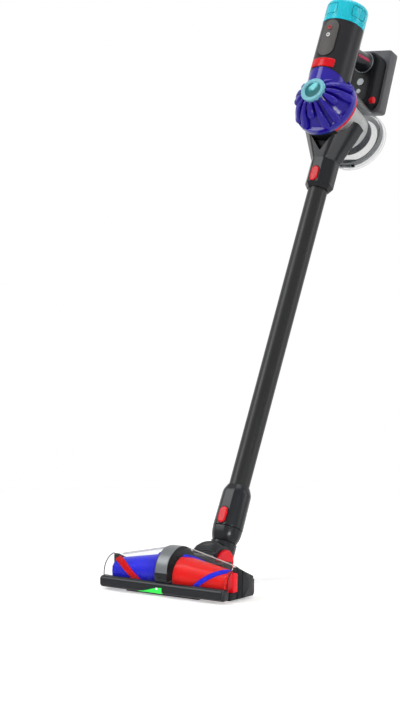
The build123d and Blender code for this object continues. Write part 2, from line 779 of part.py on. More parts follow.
# Pivot drum with the swivel stub
with BuildPart() as neck_drum:
    with BuildSketch(neck_section):
        Circle(drum_radius)
    extrude(amount=drum_half_width, both=True)
    fillet(neck_drum.edges().filter_by(GeomType.CIRCLE), radius=drum_round)
    with BuildSketch(neck_section):
        with PolarLocations(drum_radius, groove_count, groove_start, groove_step * groove_count):
            Circle(groove_radius)
    extrude(amount=drum_half_width, both=True, mode=Mode.SUBTRACT)
    with BuildSketch(wand):
        Circle(neck_radius)
    extrude(amount=neck_top)
    with BuildSketch(neck_section):
        with BuildLine():
            Polyline(
                (drum_radius, 0),
                (neck_rear, neck_cut),
                (neck_rear + end_play, neck_cut),
                (neck_rear + end_play, -end_play),
                (drum_radius, -end_play),
                close=True,
            )
        make_face()
    extrude(amount=drum_half_width, both=True, mode=Mode.SUBTRACT)
    with BuildSketch(wand):
        Circle(stub_radius)
    extrude(amount=stub_top)
    with BuildSketch(wand.offset(pin_radius * 2)):
        Circle(stub_bore_radius)
    extrude(amount=stub_top, mode=Mode.SUBTRACT)
    with BuildSketch(neck_section):
        Circle(pin_radius + journal_gap)
    extrude(amount=drum_half_width, both=True, mode=Mode.SUBTRACT)
keep(neck_drum, "neck_drum")

# Neck socket: turns on the stub, and carries the wand collar on its spigot
with BuildPart() as neck_socket:
    with BuildSketch(wand_section):
        with BuildLine():
            Polyline(
                (stub_radius + journal_gap, socket_bottom),
                (socket_bottom_radius, socket_bottom),
                (collar_radius - collar_seam, collar_bottom - collar_seam),
                (collar_radius - 2 * collar_seam, collar_bottom),
                (socket_spigot_radius, collar_bottom),
                (socket_spigot_radius, collar_bottom + socket_spigot_length),
                (stub_bore_radius, collar_bottom + socket_spigot_length),
                (stub_bore_radius, collar_bottom),
                (stub_radius + journal_gap, collar_bottom),
                close=True,
            )
        make_face()
    revolve(axis=wand_axis)
keep(neck_socket, "neck_socket")

with BuildPart() as wand_collar:
    with BuildSketch(wand_section):
        with BuildLine():
            Polyline(
                (socket_spigot_radius + journal_gap, collar_bottom),
                (collar_radius - 2 * collar_seam, collar_bottom),
                (collar_radius, collar_bottom + 2 * collar_seam),
                (collar_top_radius, collar_top - collar_taper),
                (tube_radius + collar_lip, collar_top),
                (tube_radius, collar_top),
                (tube_radius, tube_bottom),
                (tube_radius - tube_wall, tube_bottom),
                (tube_radius - tube_wall, tube_bottom - collar_stop),
                (socket_spigot_radius + journal_gap, tube_bottom - collar_stop),
                close=True,
            )
        make_face()
    revolve(axis=wand_axis)
    with BuildSketch(front_plane(-tube_radius, collar_bottom + collar_button_rise)):
        SlotOverall(button_length, button_width, rotation=90)
    extrude(amount=button_reach, mode=Mode.SUBTRACT)
keep(wand_collar, "wand_collar")

with BuildPart() as collar_button:
    with BuildSketch(front_plane(button_depth - collar_radius, collar_bottom + collar_button_rise)):
        SlotOverall(button_length - 2 * running_gap, button_width - 2 * running_gap, rotation=90)
    extrude(amount=button_reach)
    with BuildSketch(wand.offset(collar_bottom)):
        Circle(collar_radius + button_proud)
    extrude(amount=collar_length, mode=Mode.INTERSECT)
keep(collar_button, "collar_button")

with BuildPart() as wand_tube:
    with BuildSketch(wand.offset(tube_bottom)):
        Circle(tube_radius)
        Circle(tube_radius - tube_wall, mode=Mode.SUBTRACT)
    extrude(amount=tube_insert + tube_visible + tube_seat)
keep(wand_tube, "wand_tube")

# Inlet neck: collar that widens into a forked cradle for the bin
with BuildPart() as inlet_neck:
    with BuildSketch(wand_section):
        with BuildLine():
            Polyline(
                (0, inlet_bottom),
                (tube_radius + collar_lip, inlet_bottom),
                (inlet_radius, inlet_bottom + inlet_chamfer),
                (inlet_radius, inlet_bottom + inlet_length),
                (0, inlet_bottom + inlet_length),
                close=True,
            )
        make_face()
    revolve(axis=wand_axis)
    with BuildSketch(wand.offset(inlet_bottom + inlet_length)):
        Circle(inlet_radius)
    with BuildSketch(wand.offset(inlet_bottom + inlet_length + fork_height)):
        with Locations((0, -fork_shift)):
            RectangleRounded(2 * fork_half_width, fork_depth, fork_corner)
    loft()
    with BuildSketch(cyclone.offset(-bin_end)):
        Circle(bin_radius + seat_gap)
    extrude(amount=bin_end, mode=Mode.SUBTRACT)
    with BuildSketch(cyclone.offset(-bin_start - running_gap)):
        Circle(pack_radius + running_gap)
    extrude(amount=bin_start + running_gap, mode=Mode.SUBTRACT)
    with BuildSketch(front_plane(-fork_shift - fork_depth / 2 + notch_depth, inlet_bottom + inlet_length)):
        with BuildLine():
            Polyline(
                (0, notch_rise),
                (notch_half_width, notch_rise + notch_height),
                (-notch_half_width, notch_rise + notch_height),
                close=True,
            )
        make_face()
    extrude(amount=fork_depth, mode=Mode.SUBTRACT)
    with BuildSketch(wand.offset(inlet_bottom)):
        Circle(tube_radius)
    extrude(amount=tube_seat, mode=Mode.SUBTRACT)
    with BuildSketch(wand.offset(inlet_bottom + tube_seat)):
        Circle(airway_radius)
    extrude(amount=fork_height + inlet_length, mode=Mode.SUBTRACT)
    with BuildSketch(front_plane(-tube_radius, inlet_bottom + inlet_button_rise)):
        SlotOverall(button_length, button_width, rotation=90)
    extrude(amount=button_reach, mode=Mode.SUBTRACT)
keep(inlet_neck, "inlet_neck")

with BuildPart() as inlet_button:
    with BuildSketch(front_plane(button_depth - inlet_radius, inlet_bottom + inlet_button_rise)):
        SlotOverall(button_length - 2 * running_gap, button_width - 2 * running_gap, rotation=90)
    extrude(amount=button_reach)
    with BuildSketch(wand.offset(inlet_bottom)):
        Circle(inlet_radius + button_proud)
    extrude(amount=inlet_length, mode=Mode.INTERSECT)
keep(inlet_button, "inlet_button")

# Space of the motor shell above its sloping lower edge
with BuildPart() as shell_space:
    with BuildSketch(motor.offset(cyclone_rise)):
        Circle(shell_radius)
    extrude(amount=shell_top_rise - cyclone_rise)
    split(bisect_by=shell_cut, keep=Keep.TOP)

# Collar of the cyclone pack, under that edge
with BuildPart() as pack_collar:
    with BuildSketch(motor.offset(cyclone_rise)):
        Circle(shell_radius - collar_step)
    extrude(amount=shell_top_rise - cyclone_rise)
    split(bisect_by=shell_cut, keep=Keep.BOTTOM)
    with BuildSketch(cyclone.offset(-bin_end)):
        Circle(bin_clear_radius)
    extrude(amount=bin_length + bin_ring_length, mode=Mode.SUBTRACT)

# Cyclone pack: fingers under a domed envelope, on a lower dome with a plain skirt
with BuildPart() as cyclone_pack:
    with BuildSketch(cyclone_section):
        with BuildLine():
            ThreePointArc(
                (cap_radius, -cap_seat),
                (pack_shoulder_radius, -pack_shoulder),
                (finger_reach, pack_skirt - pack_length),
            )
            Polyline(
                (finger_reach, pack_skirt - pack_length),
                (0, pack_skirt - pack_length),
                (0, -cap_seat),
                (cap_radius, -cap_seat),
            )
        make_face()
    revolve(axis=cyclone_axis)
    with BuildSketch(cyclone.offset(-pack_length)):
        with PolarLocations(short_finger_reach / 2, finger_groups, start_angle=-90):
            SlotOverall(short_finger_reach, finger_width)
        for share in (1, 2):
            with PolarLocations(finger_reach / 2, finger_groups, start_angle=-90 + finger_step * share):
                SlotOverall(finger_reach, finger_width)
    extrude(amount=pack_length, mode=Mode.INTERSECT)
    with BuildSketch(cyclone_section):
        with BuildLine():
            ThreePointArc(
                (cap_radius - valley_depth, -cap_seat - valley_depth / 2),
                (pack_shoulder_radius - valley_depth / 2, -pack_shoulder - valley_depth),
                (pack_radius - valley_depth, pack_skirt - pack_length),
            )
            Polyline(
                (pack_radius - valley_depth, pack_skirt - pack_length),
                (pack_radius, pack_skirt - pack_length),
                (pack_radius, -pack_length),
                (0, -pack_length),
                (0, -cap_seat - valley_depth / 2),
                (cap_radius - valley_depth, -cap_seat - valley_depth / 2),
            )
        make_face()
    revolve(axis=cyclone_axis)
    add(pack_collar.part)
    add(shell_space.part, mode=Mode.SUBTRACT)
    with BuildSketch(cyclone.offset(-cap_thickness - running_gap)):
        Circle(cap_radius + running_gap)
    extrude(amount=cap_thickness, mode=Mode.SUBTRACT)
    with BuildSketch(cyclone.offset(-pack_length)):
        Circle(sleeve_radius + running_gap)
    extrude(amount=pack_length, mode=Mode.SUBTRACT)
keep(cyclone_pack, "cyclone_pack")

# Filter in the middle of the pack: cap ring, bowl and sleeve lift out together
with BuildPart() as cap_ring:
    with BuildSketch(cyclone.offset(-cap_thickness)):
        Circle(cap_radius)
        Circle(cap_inner_radius, mode=Mode.SUBTRACT)
    extrude(amount=cap_thickness)
    fillet(cap_ring.edges().group_by(cyclone_axis)[-1], radius=cap_edge)
keep(cap_ring, "cap_ring")

with BuildPart() as cap_bowl:
    with BuildSketch(cyclone.offset(-cap_thickness)):
        Circle(cap_inner_radius)
    extrude(amount=cap_thickness)
    with Locations(cyclone.from_local_coords((0, 0, bowl_thickness - cap_thickness + bowl_curve))):
        Sphere(bowl_curve, mode=Mode.SUBTRACT)
keep(cap_bowl, "cap_bowl")

with BuildPart() as filter_sleeve:
    with BuildSketch(cyclone.offset(-cap_thickness - sleeve_length)):
        Circle(sleeve_radius)
        Circle(sleeve_radius - sleeve_wall, mode=Mode.SUBTRACT)
    extrude(amount=sleeve_length)
keep(filter_sleeve, "filter_sleeve")

# Bin: red ring, clear wall, shroud with its foot, hinged door
with BuildPart() as bin_ring:
    with BuildSketch(cyclone.offset(-bin_start)):
        Circle(bin_ring_radius)
        Circle(flange_radius, mode=Mode.SUBTRACT)
    extrude(amount=bin_ring_length)
keep(bin_ring, "bin_ring")

with BuildPart() as dust_bin:
    with BuildSketch(cyclone.offset(-bin_end)):
        Circle(bin_radius)
    extrude(amount=bin_length)
    with BuildSketch(cyclone.offset(hinge_setback - bin_end)):
        with Locations((hinge_lug_x, -hinge_radius), (-hinge_lug_x, -hinge_radius)):
            Rectangle(hinge_lug_width, 2 * hinge_boss_radius)
            with Locations((0, hinge_boss_radius)):
                Rectangle(hinge_lug_width, 2 * hinge_boss_radius)
    extrude(amount=hinge_boss_radius)
    for start in (hinge_half_width, -hinge_half_width - hinge_lug_width):
        with BuildSketch(hinge_section.offset(start)):
            Circle(hinge_boss_radius)
        extrude(amount=hinge_lug_width)
    with BuildSketch(cyclone.offset(-bin_end)):
        Circle(bin_radius - bin_wall)
    extrude(amount=bin_length, mode=Mode.SUBTRACT)
    with BuildSketch(hinge_section):
        Circle(hinge_pin_radius)
    extrude(amount=hinge_lug_x + hinge_lug_width, both=True, mode=Mode.SUBTRACT)
    with BuildSketch(wand.offset(inlet_bottom + inlet_length)):
        Circle(airway_radius)
    extrude(amount=cyclone_rise - inlet_length, mode=Mode.SUBTRACT)
keep(dust_bin, "dust_bin")

with BuildPart() as door_pin:
    with BuildSketch(hinge_section):
        Circle(hinge_pin_radius)
    extrude(amount=hinge_lug_x + hinge_lug_width / 2, both=True)
keep(door_pin, "door_pin")

with BuildPart() as bin_door:
    with BuildSketch(cyclone.offset(-bin_end - door_depth)):
        Circle(door_radius)
    extrude(amount=door_depth - running_gap)
    fillet(bin_door.edges().group_by(cyclone_axis)[0], radius=door_round)
    with BuildSketch(cyclone.offset(-bin_end - door_depth + door_wall)):
        Circle(door_radius - door_round)
    with BuildSketch(cyclone.offset(-bin_end - running_gap)):
        Circle(bin_radius - door_wall)
    loft(mode=Mode.SUBTRACT)
    with BuildSketch(hinge_section):
        Circle(hinge_boss_radius)
        Rectangle(hinge_reach, 2 * hinge_boss_radius, align=(Align.MAX, Align.CENTER))
    extrude(amount=hinge_half_width - running_gap, both=True)
    with BuildSketch(hinge_section):
        Circle(hinge_pin_radius + journal_gap)
    extrude(amount=hinge_half_width, both=True, mode=Mode.SUBTRACT)
    with BuildSketch(cyclone.offset(-bin_end - running_gap)):
        Circle(bin_radius + running_gap)
    extrude(amount=bin_length, mode=Mode.SUBTRACT)
keep(bin_door, "bin_door")

with BuildPart() as shroud:
    with BuildSketch(cyclone.offset(-pack_length - shroud_length)):
        Circle(shroud_radius)
    extrude(amount=shroud_length)
    with BuildSketch(cyclone.offset(-pack_length - flange_thickness)):
        Circle(flange_radius)
    extrude(amount=flange_thickness)
    with BuildSketch(cyclone.offset(-pack_length - shroud_length)):
        Circle(shroud_radius - shroud_wall)
    extrude(amount=shroud_length, mode=Mode.SUBTRACT)
keep(shroud, "shroud")

with BuildPart() as shroud_foot:
    with BuildSketch(cyclone_section):
        with BuildLine():
            Line((0, foot_start), (shroud_radius, foot_start))
            ThreePointArc(
                (shroud_radius, foot_start),
                (shroud_radius - foot_bow, foot_start - foot_shoulder),
                (foot_face_radius, foot_start - foot_length),
            )
            Line((foot_face_radius, foot_start - foot_length), (0, foot_start - foot_length))
            Line((0, foot_start - foot_length), (0, foot_start))
        make_face()
    revolve(axis=cyclone_axis)
    with BuildSketch(cyclone.offset(foot_start - foot_length / 2)):
        Circle(shroud_radius - foot_wall)
    extrude(amount=foot_length / 2, mode=Mode.SUBTRACT)
keep(shroud_foot, "shroud_foot")

# Motor body: shell, fan motor and fan
with BuildPart() as motor_shell:
    add(shell_space.part)
    with BuildSketch(cyclone.offset(-bin_end)):
        Circle(bin_clear_radius)
    extrude(amount=bin_length + bin_ring_length, mode=Mode.SUBTRACT)
    with BuildSketch(motor.offset(shell_floor_rise)):
        Circle(shell_radius - shell_wall)
    extrude(amount=shell_top_rise - shell_floor_rise, mode=Mode.SUBTRACT)
    for rise, radius in ((power_rise, power_radius), (boost_rise, boost_radius)):
        with BuildSketch(front_plane(-shell_lead, inlet_bottom + rise)):
            Circle(radius + running_gap)
        extrude(amount=shell_radius + panel_thickness, mode=Mode.SUBTRACT)
keep(motor_shell, "motor_shell")

with BuildPart() as fan_motor:
    with BuildSketch(motor.offset(shell_floor_rise)):
        Circle(stator_radius)
        Circle(fan_shaft_radius + journal_gap, mode=Mode.SUBTRACT)
    extrude(amount=stator_length)
keep(fan_motor, "fan_motor")

with BuildPart() as fan_impeller:
    with BuildSketch(motor.offset(shell_floor_rise + running_gap)):
        Circle(fan_shaft_radius)
    extrude(amount=stator_length + fan_gap)
    with BuildSketch(motor.offset(fan_rise)):
        Circle(fan_radius)
    extrude(amount=fan_plate)
    with BuildSketch(motor.offset(fan_rise)):
        Circle(fan_hub_radius)
        with PolarLocations((fan_radius + fan_hub_radius) / 2 - fan_blade_inset, fan_blades):
            Rectangle(fan_radius - fan_hub_radius, fan_blade_thickness)
    extrude(amount=fan_height)
keep(fan_impeller, "fan_impeller")

# Controls on the front of the motor body: panel, two keys, bin release lever
with BuildPart() as control_panel:
    with BuildSketch(motor.offset(panel_rise)):
        Circle(shell_radius + panel_thickness)
        Circle(shell_radius, mode=Mode.SUBTRACT)
    extrude(amount=panel_length)
    with BuildSketch(front_plane(-shell_lead, inlet_bottom + panel_rise + panel_length / 2)):
        SlotOverall(panel_length, panel_width, rotation=90)
    extrude(amount=2 * shell_radius, mode=Mode.INTERSECT)
    for rise, radius in ((power_rise, power_radius), (boost_rise, boost_radius)):
        with BuildSketch(front_plane(-shell_lead, inlet_bottom + rise)):
            Circle(radius + running_gap)
        extrude(amount=2 * shell_radius, mode=Mode.SUBTRACT)
keep(control_panel, "control_panel")

with BuildPart() as power_button:
    with BuildSketch(front_plane(-shell_lead - key_back, inlet_bottom + power_rise)):
        Circle(power_radius)
    extrude(amount=key_depth)
keep(power_button, "power_button")

with BuildPart() as boost_button:
    with BuildSketch(front_plane(-shell_lead - key_back, inlet_bottom + boost_rise)):
        Circle(boost_radius)
    extrude(amount=key_depth)
keep(boost_button, "boost_button")

with BuildPart() as bin_lever:
    with BuildSketch(motor.offset(shell_front_rise + lever_gap)):
        Circle(shell_radius + running_gap + lever_thickness)
        Circle(shell_radius + running_gap, mode=Mode.SUBTRACT)
        with BuildLine():
            Polyline(
                (0, 0),
                (-lever_spread, -2 * shell_radius),
                (lever_spread, -2 * shell_radius),
                close=True,
            )
        make_face(mode=Mode.INTERSECT)
    extrude(amount=lever_height)
keep(bin_lever, "bin_lever")

# Rear filter: translucent cap over a ring of media, twisted on as one
with BuildPart() as rear_cap:
    with BuildSketch(motor.offset(shell_top_rise + running_gap)):
        Circle(rear_cap_radius)
    extrude(amount=rear_cap_height)
    fillet(rear_cap.edges().group_by(motor_axis)[-1], radius=rear_cap_round)
    with BuildSketch(motor.offset(shell_top_rise + running_gap)):
        Circle(rear_cap_radius - rear_cap_wall)
    extrude(amount=rear_cap_height - rear_cap_round, mode=Mode.SUBTRACT)
keep(rear_cap, "rear_cap")

with BuildPart() as rear_media:
    with BuildSketch(motor.offset(shell_top_rise + running_gap + media_gap)):
        Circle(media_radius)
        Circle(media_radius - media_wall, mode=Mode.SUBTRACT)
    extrude(amount=rear_cap_height - rear_cap_round - media_gap)
keep(rear_media, "rear_media")

# Grip with its red trims
with BuildPart() as grip_trims:
    with BuildSketch(grip.offset(shell_radius + trim_margin)):
        Circle(grip_radius + trim_proud)
        Circle(grip_radius - trim_depth, mode=Mode.SUBTRACT)
        Rectangle(cut_size, trim_width, mode=Mode.INTERSECT)
    extrude(amount=trim_length)
keep(grip_trims, "grip_trims")

with BuildPart() as hand_grip:
    with BuildSketch(grip):
        Circle(grip_radius)
    extrude(amount=shell_lead + battery_lead)
    split(bisect_by=dock_front, keep=Keep.BOTTOM)
    with BuildSketch(motor.offset(shell_front_rise)):
        Circle(shell_radius)
    extrude(amount=shell_top_rise - shell_front_rise, mode=Mode.SUBTRACT)
    add(grip_trims.part, mode=Mode.SUBTRACT)
keep(hand_grip, "hand_grip")

# Battery dock with its release button and silver discs
with BuildPart() as battery_dock:
    with BuildSketch(dock_front):
        with Locations((0, -dock_drop)):
            RectangleRounded(dock_width, dock_height, dock_corner)
    extrude(amount=dock_depth)
    fillet(battery_dock.edges().group_by(battery_axis)[0], radius=dock_edge)
    with BuildSketch(latch_plane):
        Circle(latch_radius + running_gap)
    extrude(amount=-latch_depth - latch_travel - running_gap, mode=Mode.SUBTRACT)
keep(battery_dock, "battery_dock")

with BuildPart() as battery_button:
    with BuildSketch(latch_plane.offset(-latch_depth)):
        Circle(latch_radius)
    extrude(amount=latch_depth + latch_proud)
keep(battery_button, "battery_button")

with BuildPart() as dock_discs:
    for rise, radius in ((disc_large_rise, disc_large_radius), (disc_small_rise, disc_small_radius)):
        with BuildSketch(dock_front):
            with Locations((0, rise)):
                Circle(radius)
        extrude(amount=-disc_thickness)
keep(dock_discs, "dock_discs")

# Battery: case with a charging socket low in its rear face, and its cells
with BuildPart() as battery_case:
    with BuildSketch(battery):
        RectangleRounded(battery_width, battery_height, battery_corner)
    extrude(amount=battery_depth)
    fillet(battery_case.edges().group_by(battery_axis)[-1], radius=battery_edge)
    with BuildSketch(battery.offset(battery_depth / 2 - cell_radius - seat_gap)):
        with Locations((0, cell_middle)):
            Rectangle(cell_length + 2 * seat_gap, cell_count * cell_pitch)
    extrude(amount=2 * (cell_radius + seat_gap), mode=Mode.SUBTRACT)
    with BuildSketch(charge_plane):
        Circle(charge_radius)
    extrude(amount=-charge_depth, mode=Mode.SUBTRACT)
keep(battery_case, "battery_case")

with BuildPart() as battery_cells:
    with BuildSketch(Plane(origin=battery.from_local_coords((0, cell_middle, battery_depth / 2)),
                           x_dir=battery.y_dir, z_dir=(1, 0, 0))):
        with GridLocations(cell_pitch, 0, cell_count, 1):
            Circle(cell_radius)
    extrude(amount=cell_length / 2, both=True)
keep(battery_cells, "battery_cells")
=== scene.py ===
"""Dressed model of a cordless stick vacuum: cyclone machine, wand and two-cone floor head."""
import logging
import math
from dataclasses import dataclass, field
from enum import Enum

import bmesh
import bpy
import numpy as np
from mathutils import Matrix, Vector


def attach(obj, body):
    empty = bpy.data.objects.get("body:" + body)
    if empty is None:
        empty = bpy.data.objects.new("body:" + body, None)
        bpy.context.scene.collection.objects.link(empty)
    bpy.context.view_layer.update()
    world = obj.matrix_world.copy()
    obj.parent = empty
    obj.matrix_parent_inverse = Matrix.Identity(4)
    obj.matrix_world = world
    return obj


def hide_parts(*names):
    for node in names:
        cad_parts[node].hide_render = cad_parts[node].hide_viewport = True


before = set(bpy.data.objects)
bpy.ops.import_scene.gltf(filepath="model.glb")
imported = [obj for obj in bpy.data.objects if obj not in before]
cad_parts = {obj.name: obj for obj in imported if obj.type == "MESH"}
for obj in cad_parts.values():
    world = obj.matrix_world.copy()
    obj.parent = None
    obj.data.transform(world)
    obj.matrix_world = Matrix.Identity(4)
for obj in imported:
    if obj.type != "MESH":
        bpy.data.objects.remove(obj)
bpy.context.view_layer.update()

MM = 0.001
LOG = logging.getLogger("vacuum")
SIDES = ((1, "right"), (-1, "left"))
POLE = 0.8  # radius left open at the axis of a turned piece and closed by a fan, mm
MERGE, SLIVER = 2e-6, 1e-7  # lengths below which points merge and faces dissolve, m
RING_REACH, BIN_REACH, RING_EDGE = 60.7, 57.2, -66.5  # bin's ring and wall about its axis, end of the ring, mm
BROAD_SCALE, COAT_ROUGH, RIM_BLEND = 22.0, 0.08, 0.25  # broad noise, clear coat, clear rims
RELIEF, PILE_RELIEF = 0.0003, 0.0006  # height of the fine relief, m


# Frames, in millimetres


@dataclass(frozen=True)
class Axes:
    """A local frame: an origin and three unit directions."""

    origin: tuple
    x: tuple
    y: tuple
    z: tuple

    def place(self, local: np.ndarray) -> np.ndarray:
        """Origin plus each local coordinate times its direction."""
        return np.asarray(self.origin) + np.asarray(local, float) @ np.array([self.x, self.y, self.z])

    def local(self, world: np.ndarray) -> np.ndarray:
        """Share of each direction in the step from the origin."""
        return (np.asarray(world) - self.origin) @ np.array([self.x, self.y, self.z]).T

    def at(self, x: float, y: float, z: float) -> "Axes":
        """The same directions at another local point."""
        return Axes(tuple(self.place((x, y, z))), self.x, self.y, self.z)

    def facing(self, turn: float, radius: float, height: float) -> "Axes":
        """Frame on a round body's surface: x round it, y along its axis, z outward.

        Args:
            turn: degrees from local x towards local y.
            radius: distance from the axis.
            height: place along the axis.

        Returns:
            Axes at that surface point.
        """
        c, s = math.cos(math.radians(turn)), math.sin(math.radians(turn))
        out = np.array(self.x) * c + np.array(self.y) * s
        side = np.array(self.y) * c - np.array(self.x) * s
        return Axes(tuple(self.place((radius * c, radius * s, height))), tuple(side), self.z, tuple(out))


X = (1.0, 0.0, 0.0)
WORLD = Axes((0, 0, 0), X, (0, 1, 0), (0, 0, 1))
WAND = Axes((0, 64.484, 29.9), X, (0, 0.898794, -0.438371), (0, 0.438371, 0.898794))
MOTOR = WAND.at(0, -55, 721.1)
CYCLONE = Axes((0, 359.779, 861.181), X, (0, 0.515038, 0.857167), (0, -0.857167, 0.515038))
GRIP = Axes((0, 447.328, 940.311), (-1, 0, 0), (0, 0.241922, 0.970296), (0, 0.970296, -0.241922))
BATTERY = Axes((0, 560.944, 884.006), (-1, 0, 0), (0, 0.374607, 0.927184), (0, 0.927184, -0.374607))
PIVOT = Axes((0, 44.8, 39.5), (0, 1, 0), (0, 0, 1), X)
ARCH, END = PIVOT.at(-103.3, -2.72, 0), PIVOT.at(-105.8, -13.1, 0)


def cone_axes(side: int) -> Axes:
    """Frame at a cone's inner end with z along its axis, outward; side is 1 or -1 along X."""
    along = (0.996889 * side, 0.0, -0.078824)
    return Axes((15.786 * side, -61.0, 34.6), (0, 1, 0), tuple(np.cross(along, (0, 1, 0))), along)


# Surfaces, worked out as whole arrays


def unit(v: np.ndarray) -> np.ndarray:
    """Rows scaled to length 1; a row of zeros stays."""
    return v / np.maximum(np.linalg.norm(v, axis=1, keepdims=True), 1e-9)


def circle(count: int) -> np.ndarray:
    """Angles of a full turn, evenly spaced."""
    return np.linspace(0, 2 * np.pi, count, endpoint=False)


def polar(r: np.ndarray, turn: np.ndarray, h: np.ndarray) -> np.ndarray:
    """Points (r cos t, r sin t, h)."""
    return np.stack(np.broadcast_arrays(r * np.cos(turn), r * np.sin(turn), h), -1)


def soft_profile(corners: list, closed: bool = False, steps: int = 6) -> np.ndarray:
    """Line with rounded corners: each corner (across, along, round) becomes a parabola that
    leaves its two edges at the distance round from the corner.

    Args:
        corners: rows of across, along and round.
        closed: joins the last corner to the first.
        steps: points on each corner.

    Returns:
        Points, one row each.
    """
    rows = np.array([(*c, 0.0)[:3] for c in corners], float)
    p, f = rows[:, :2], rows[:, 2:]
    before, after = np.roll(p, 1, 0) - p, np.roll(p, -1, 0) - p
    if not closed:
        before[0], after[-1] = 0, 0
    a, b = p + unit(before) * f, p + unit(after) * f
    t = np.linspace(0, 1, steps)[None, :, None]
    line = ((1 - t) ** 2 * a[:, None] + 2 * t * (1 - t) * p[:, None] + t**2 * b[:, None]).reshape(-1, 2)
    step = np.linalg.norm(np.diff(line, axis=0, prepend=line[-1:] if closed else line[:1] - 1), axis=1)
    return line[step > 1e-4]


def lathe(axes: Axes, profile: np.ndarray, count: int = 112) -> np.ndarray:
    """Profile (radius, height) turned about the frame's z."""
    return axes.place(polar(profile[:, :1], circle(count), profile[:, 1:]))


def sweep(path: np.ndarray, across: np.ndarray, up: np.ndarray, section: np.ndarray) -> np.ndarray:
    """Section carried along a path: path point plus the section's two values times two directions."""
    return path[:, None] + section[None, :, :1] * across[:, None] + section[None, :, 1:] * up[:, None]


def smooth(value: np.ndarray) -> np.ndarray:
    """Eased step from 0 to 1: 3v^2 - 2v^3 of the clipped value."""
    v = np.clip(value, 0, 1)
    return v * v * (3 - 2 * v)


def rounded_ring(half: tuple, corner: float, count: int) -> np.ndarray:
    """Rounded rectangle of half sizes and corner radius, points evenly spaced along it."""
    turn = np.linspace(0, 2 * np.pi, 361)
    c, s = np.cos(turn), np.sin(turn)
    line = np.stack([np.sign(np.round(c, 9)) * (half[0] - corner) + corner * c,
                     np.sign(np.round(s, 9)) * (half[1] - corner) + corner * s], -1)
    far = np.r_[0, np.cumsum(np.linalg.norm(np.diff(line, axis=0), axis=1))]
    want = np.linspace(0, far[-1], count, endpoint=False)
    return np.stack([np.interp(want, far, line[:, 0]), np.interp(want, far, line[:, 1])], -1)


def pad(axes: Axes, half: tuple, corner: float, steps: list, wrap: float = 0.0, count: int = 96) -> np.ndarray:
    """Raised pad: nested rounded rectangles, one for each (inset, height), closed at both ends
    where the inset reaches half the width. With wrap the plane is rolled on a cylinder: x becomes
    (R + z) sin(x / R) and z becomes (R + z) cos(x / R) - R.

    Args:
        axes: frame on the surface, z outward.
        half: half width and half length.
        corner: corner radius.
        steps: rows of inset and height.
        wrap: radius of the cylinder, or 0 for a flat pad.
        count: points on each ring.

    Returns:
        Grid of rings.
    """
    least = min(half)
    more = np.linspace(steps[-1][0], least, max(int((least - steps[-1][0]) / 4), 1) + 1)[1:]
    rows = [(least, steps[0][1]), *steps, *((d, steps[-1][1]) for d in more)]
    rings = [np.c_[rounded_ring((half[0] - d, half[1] - d), max(corner - d, 0.0), count), np.full(count, h)]
             for d, h in rows]
    p = np.stack(rings)
    if wrap:
        angle, reach = p[..., 0] / wrap, wrap + p[..., 2]
        p = np.stack([reach * np.sin(angle), p[..., 1], reach * np.cos(angle) - wrap], -1)
    return axes.place(p)


def loop_tube(axes: Axes, ring: np.ndarray, wrap: float, radius: float) -> np.ndarray:
    """Round rod along a closed line that lies on a rolled plane, as in pad()."""
    angle = ring[:, 0] / wrap
    path = axes.place(np.stack([wrap * np.sin(angle), ring[:, 1], wrap * np.cos(angle) - wrap], -1))
    up = np.stack([np.sin(angle), 0 * angle, np.cos(angle)], -1) @ np.array([axes.x, axes.y, axes.z])
    along = np.roll(path, -1, 0) - np.roll(path, 1, 0)
    return sweep(path, np.cross(up, unit(along)), up, polar(radius, circle(10), 0)[:, :2])


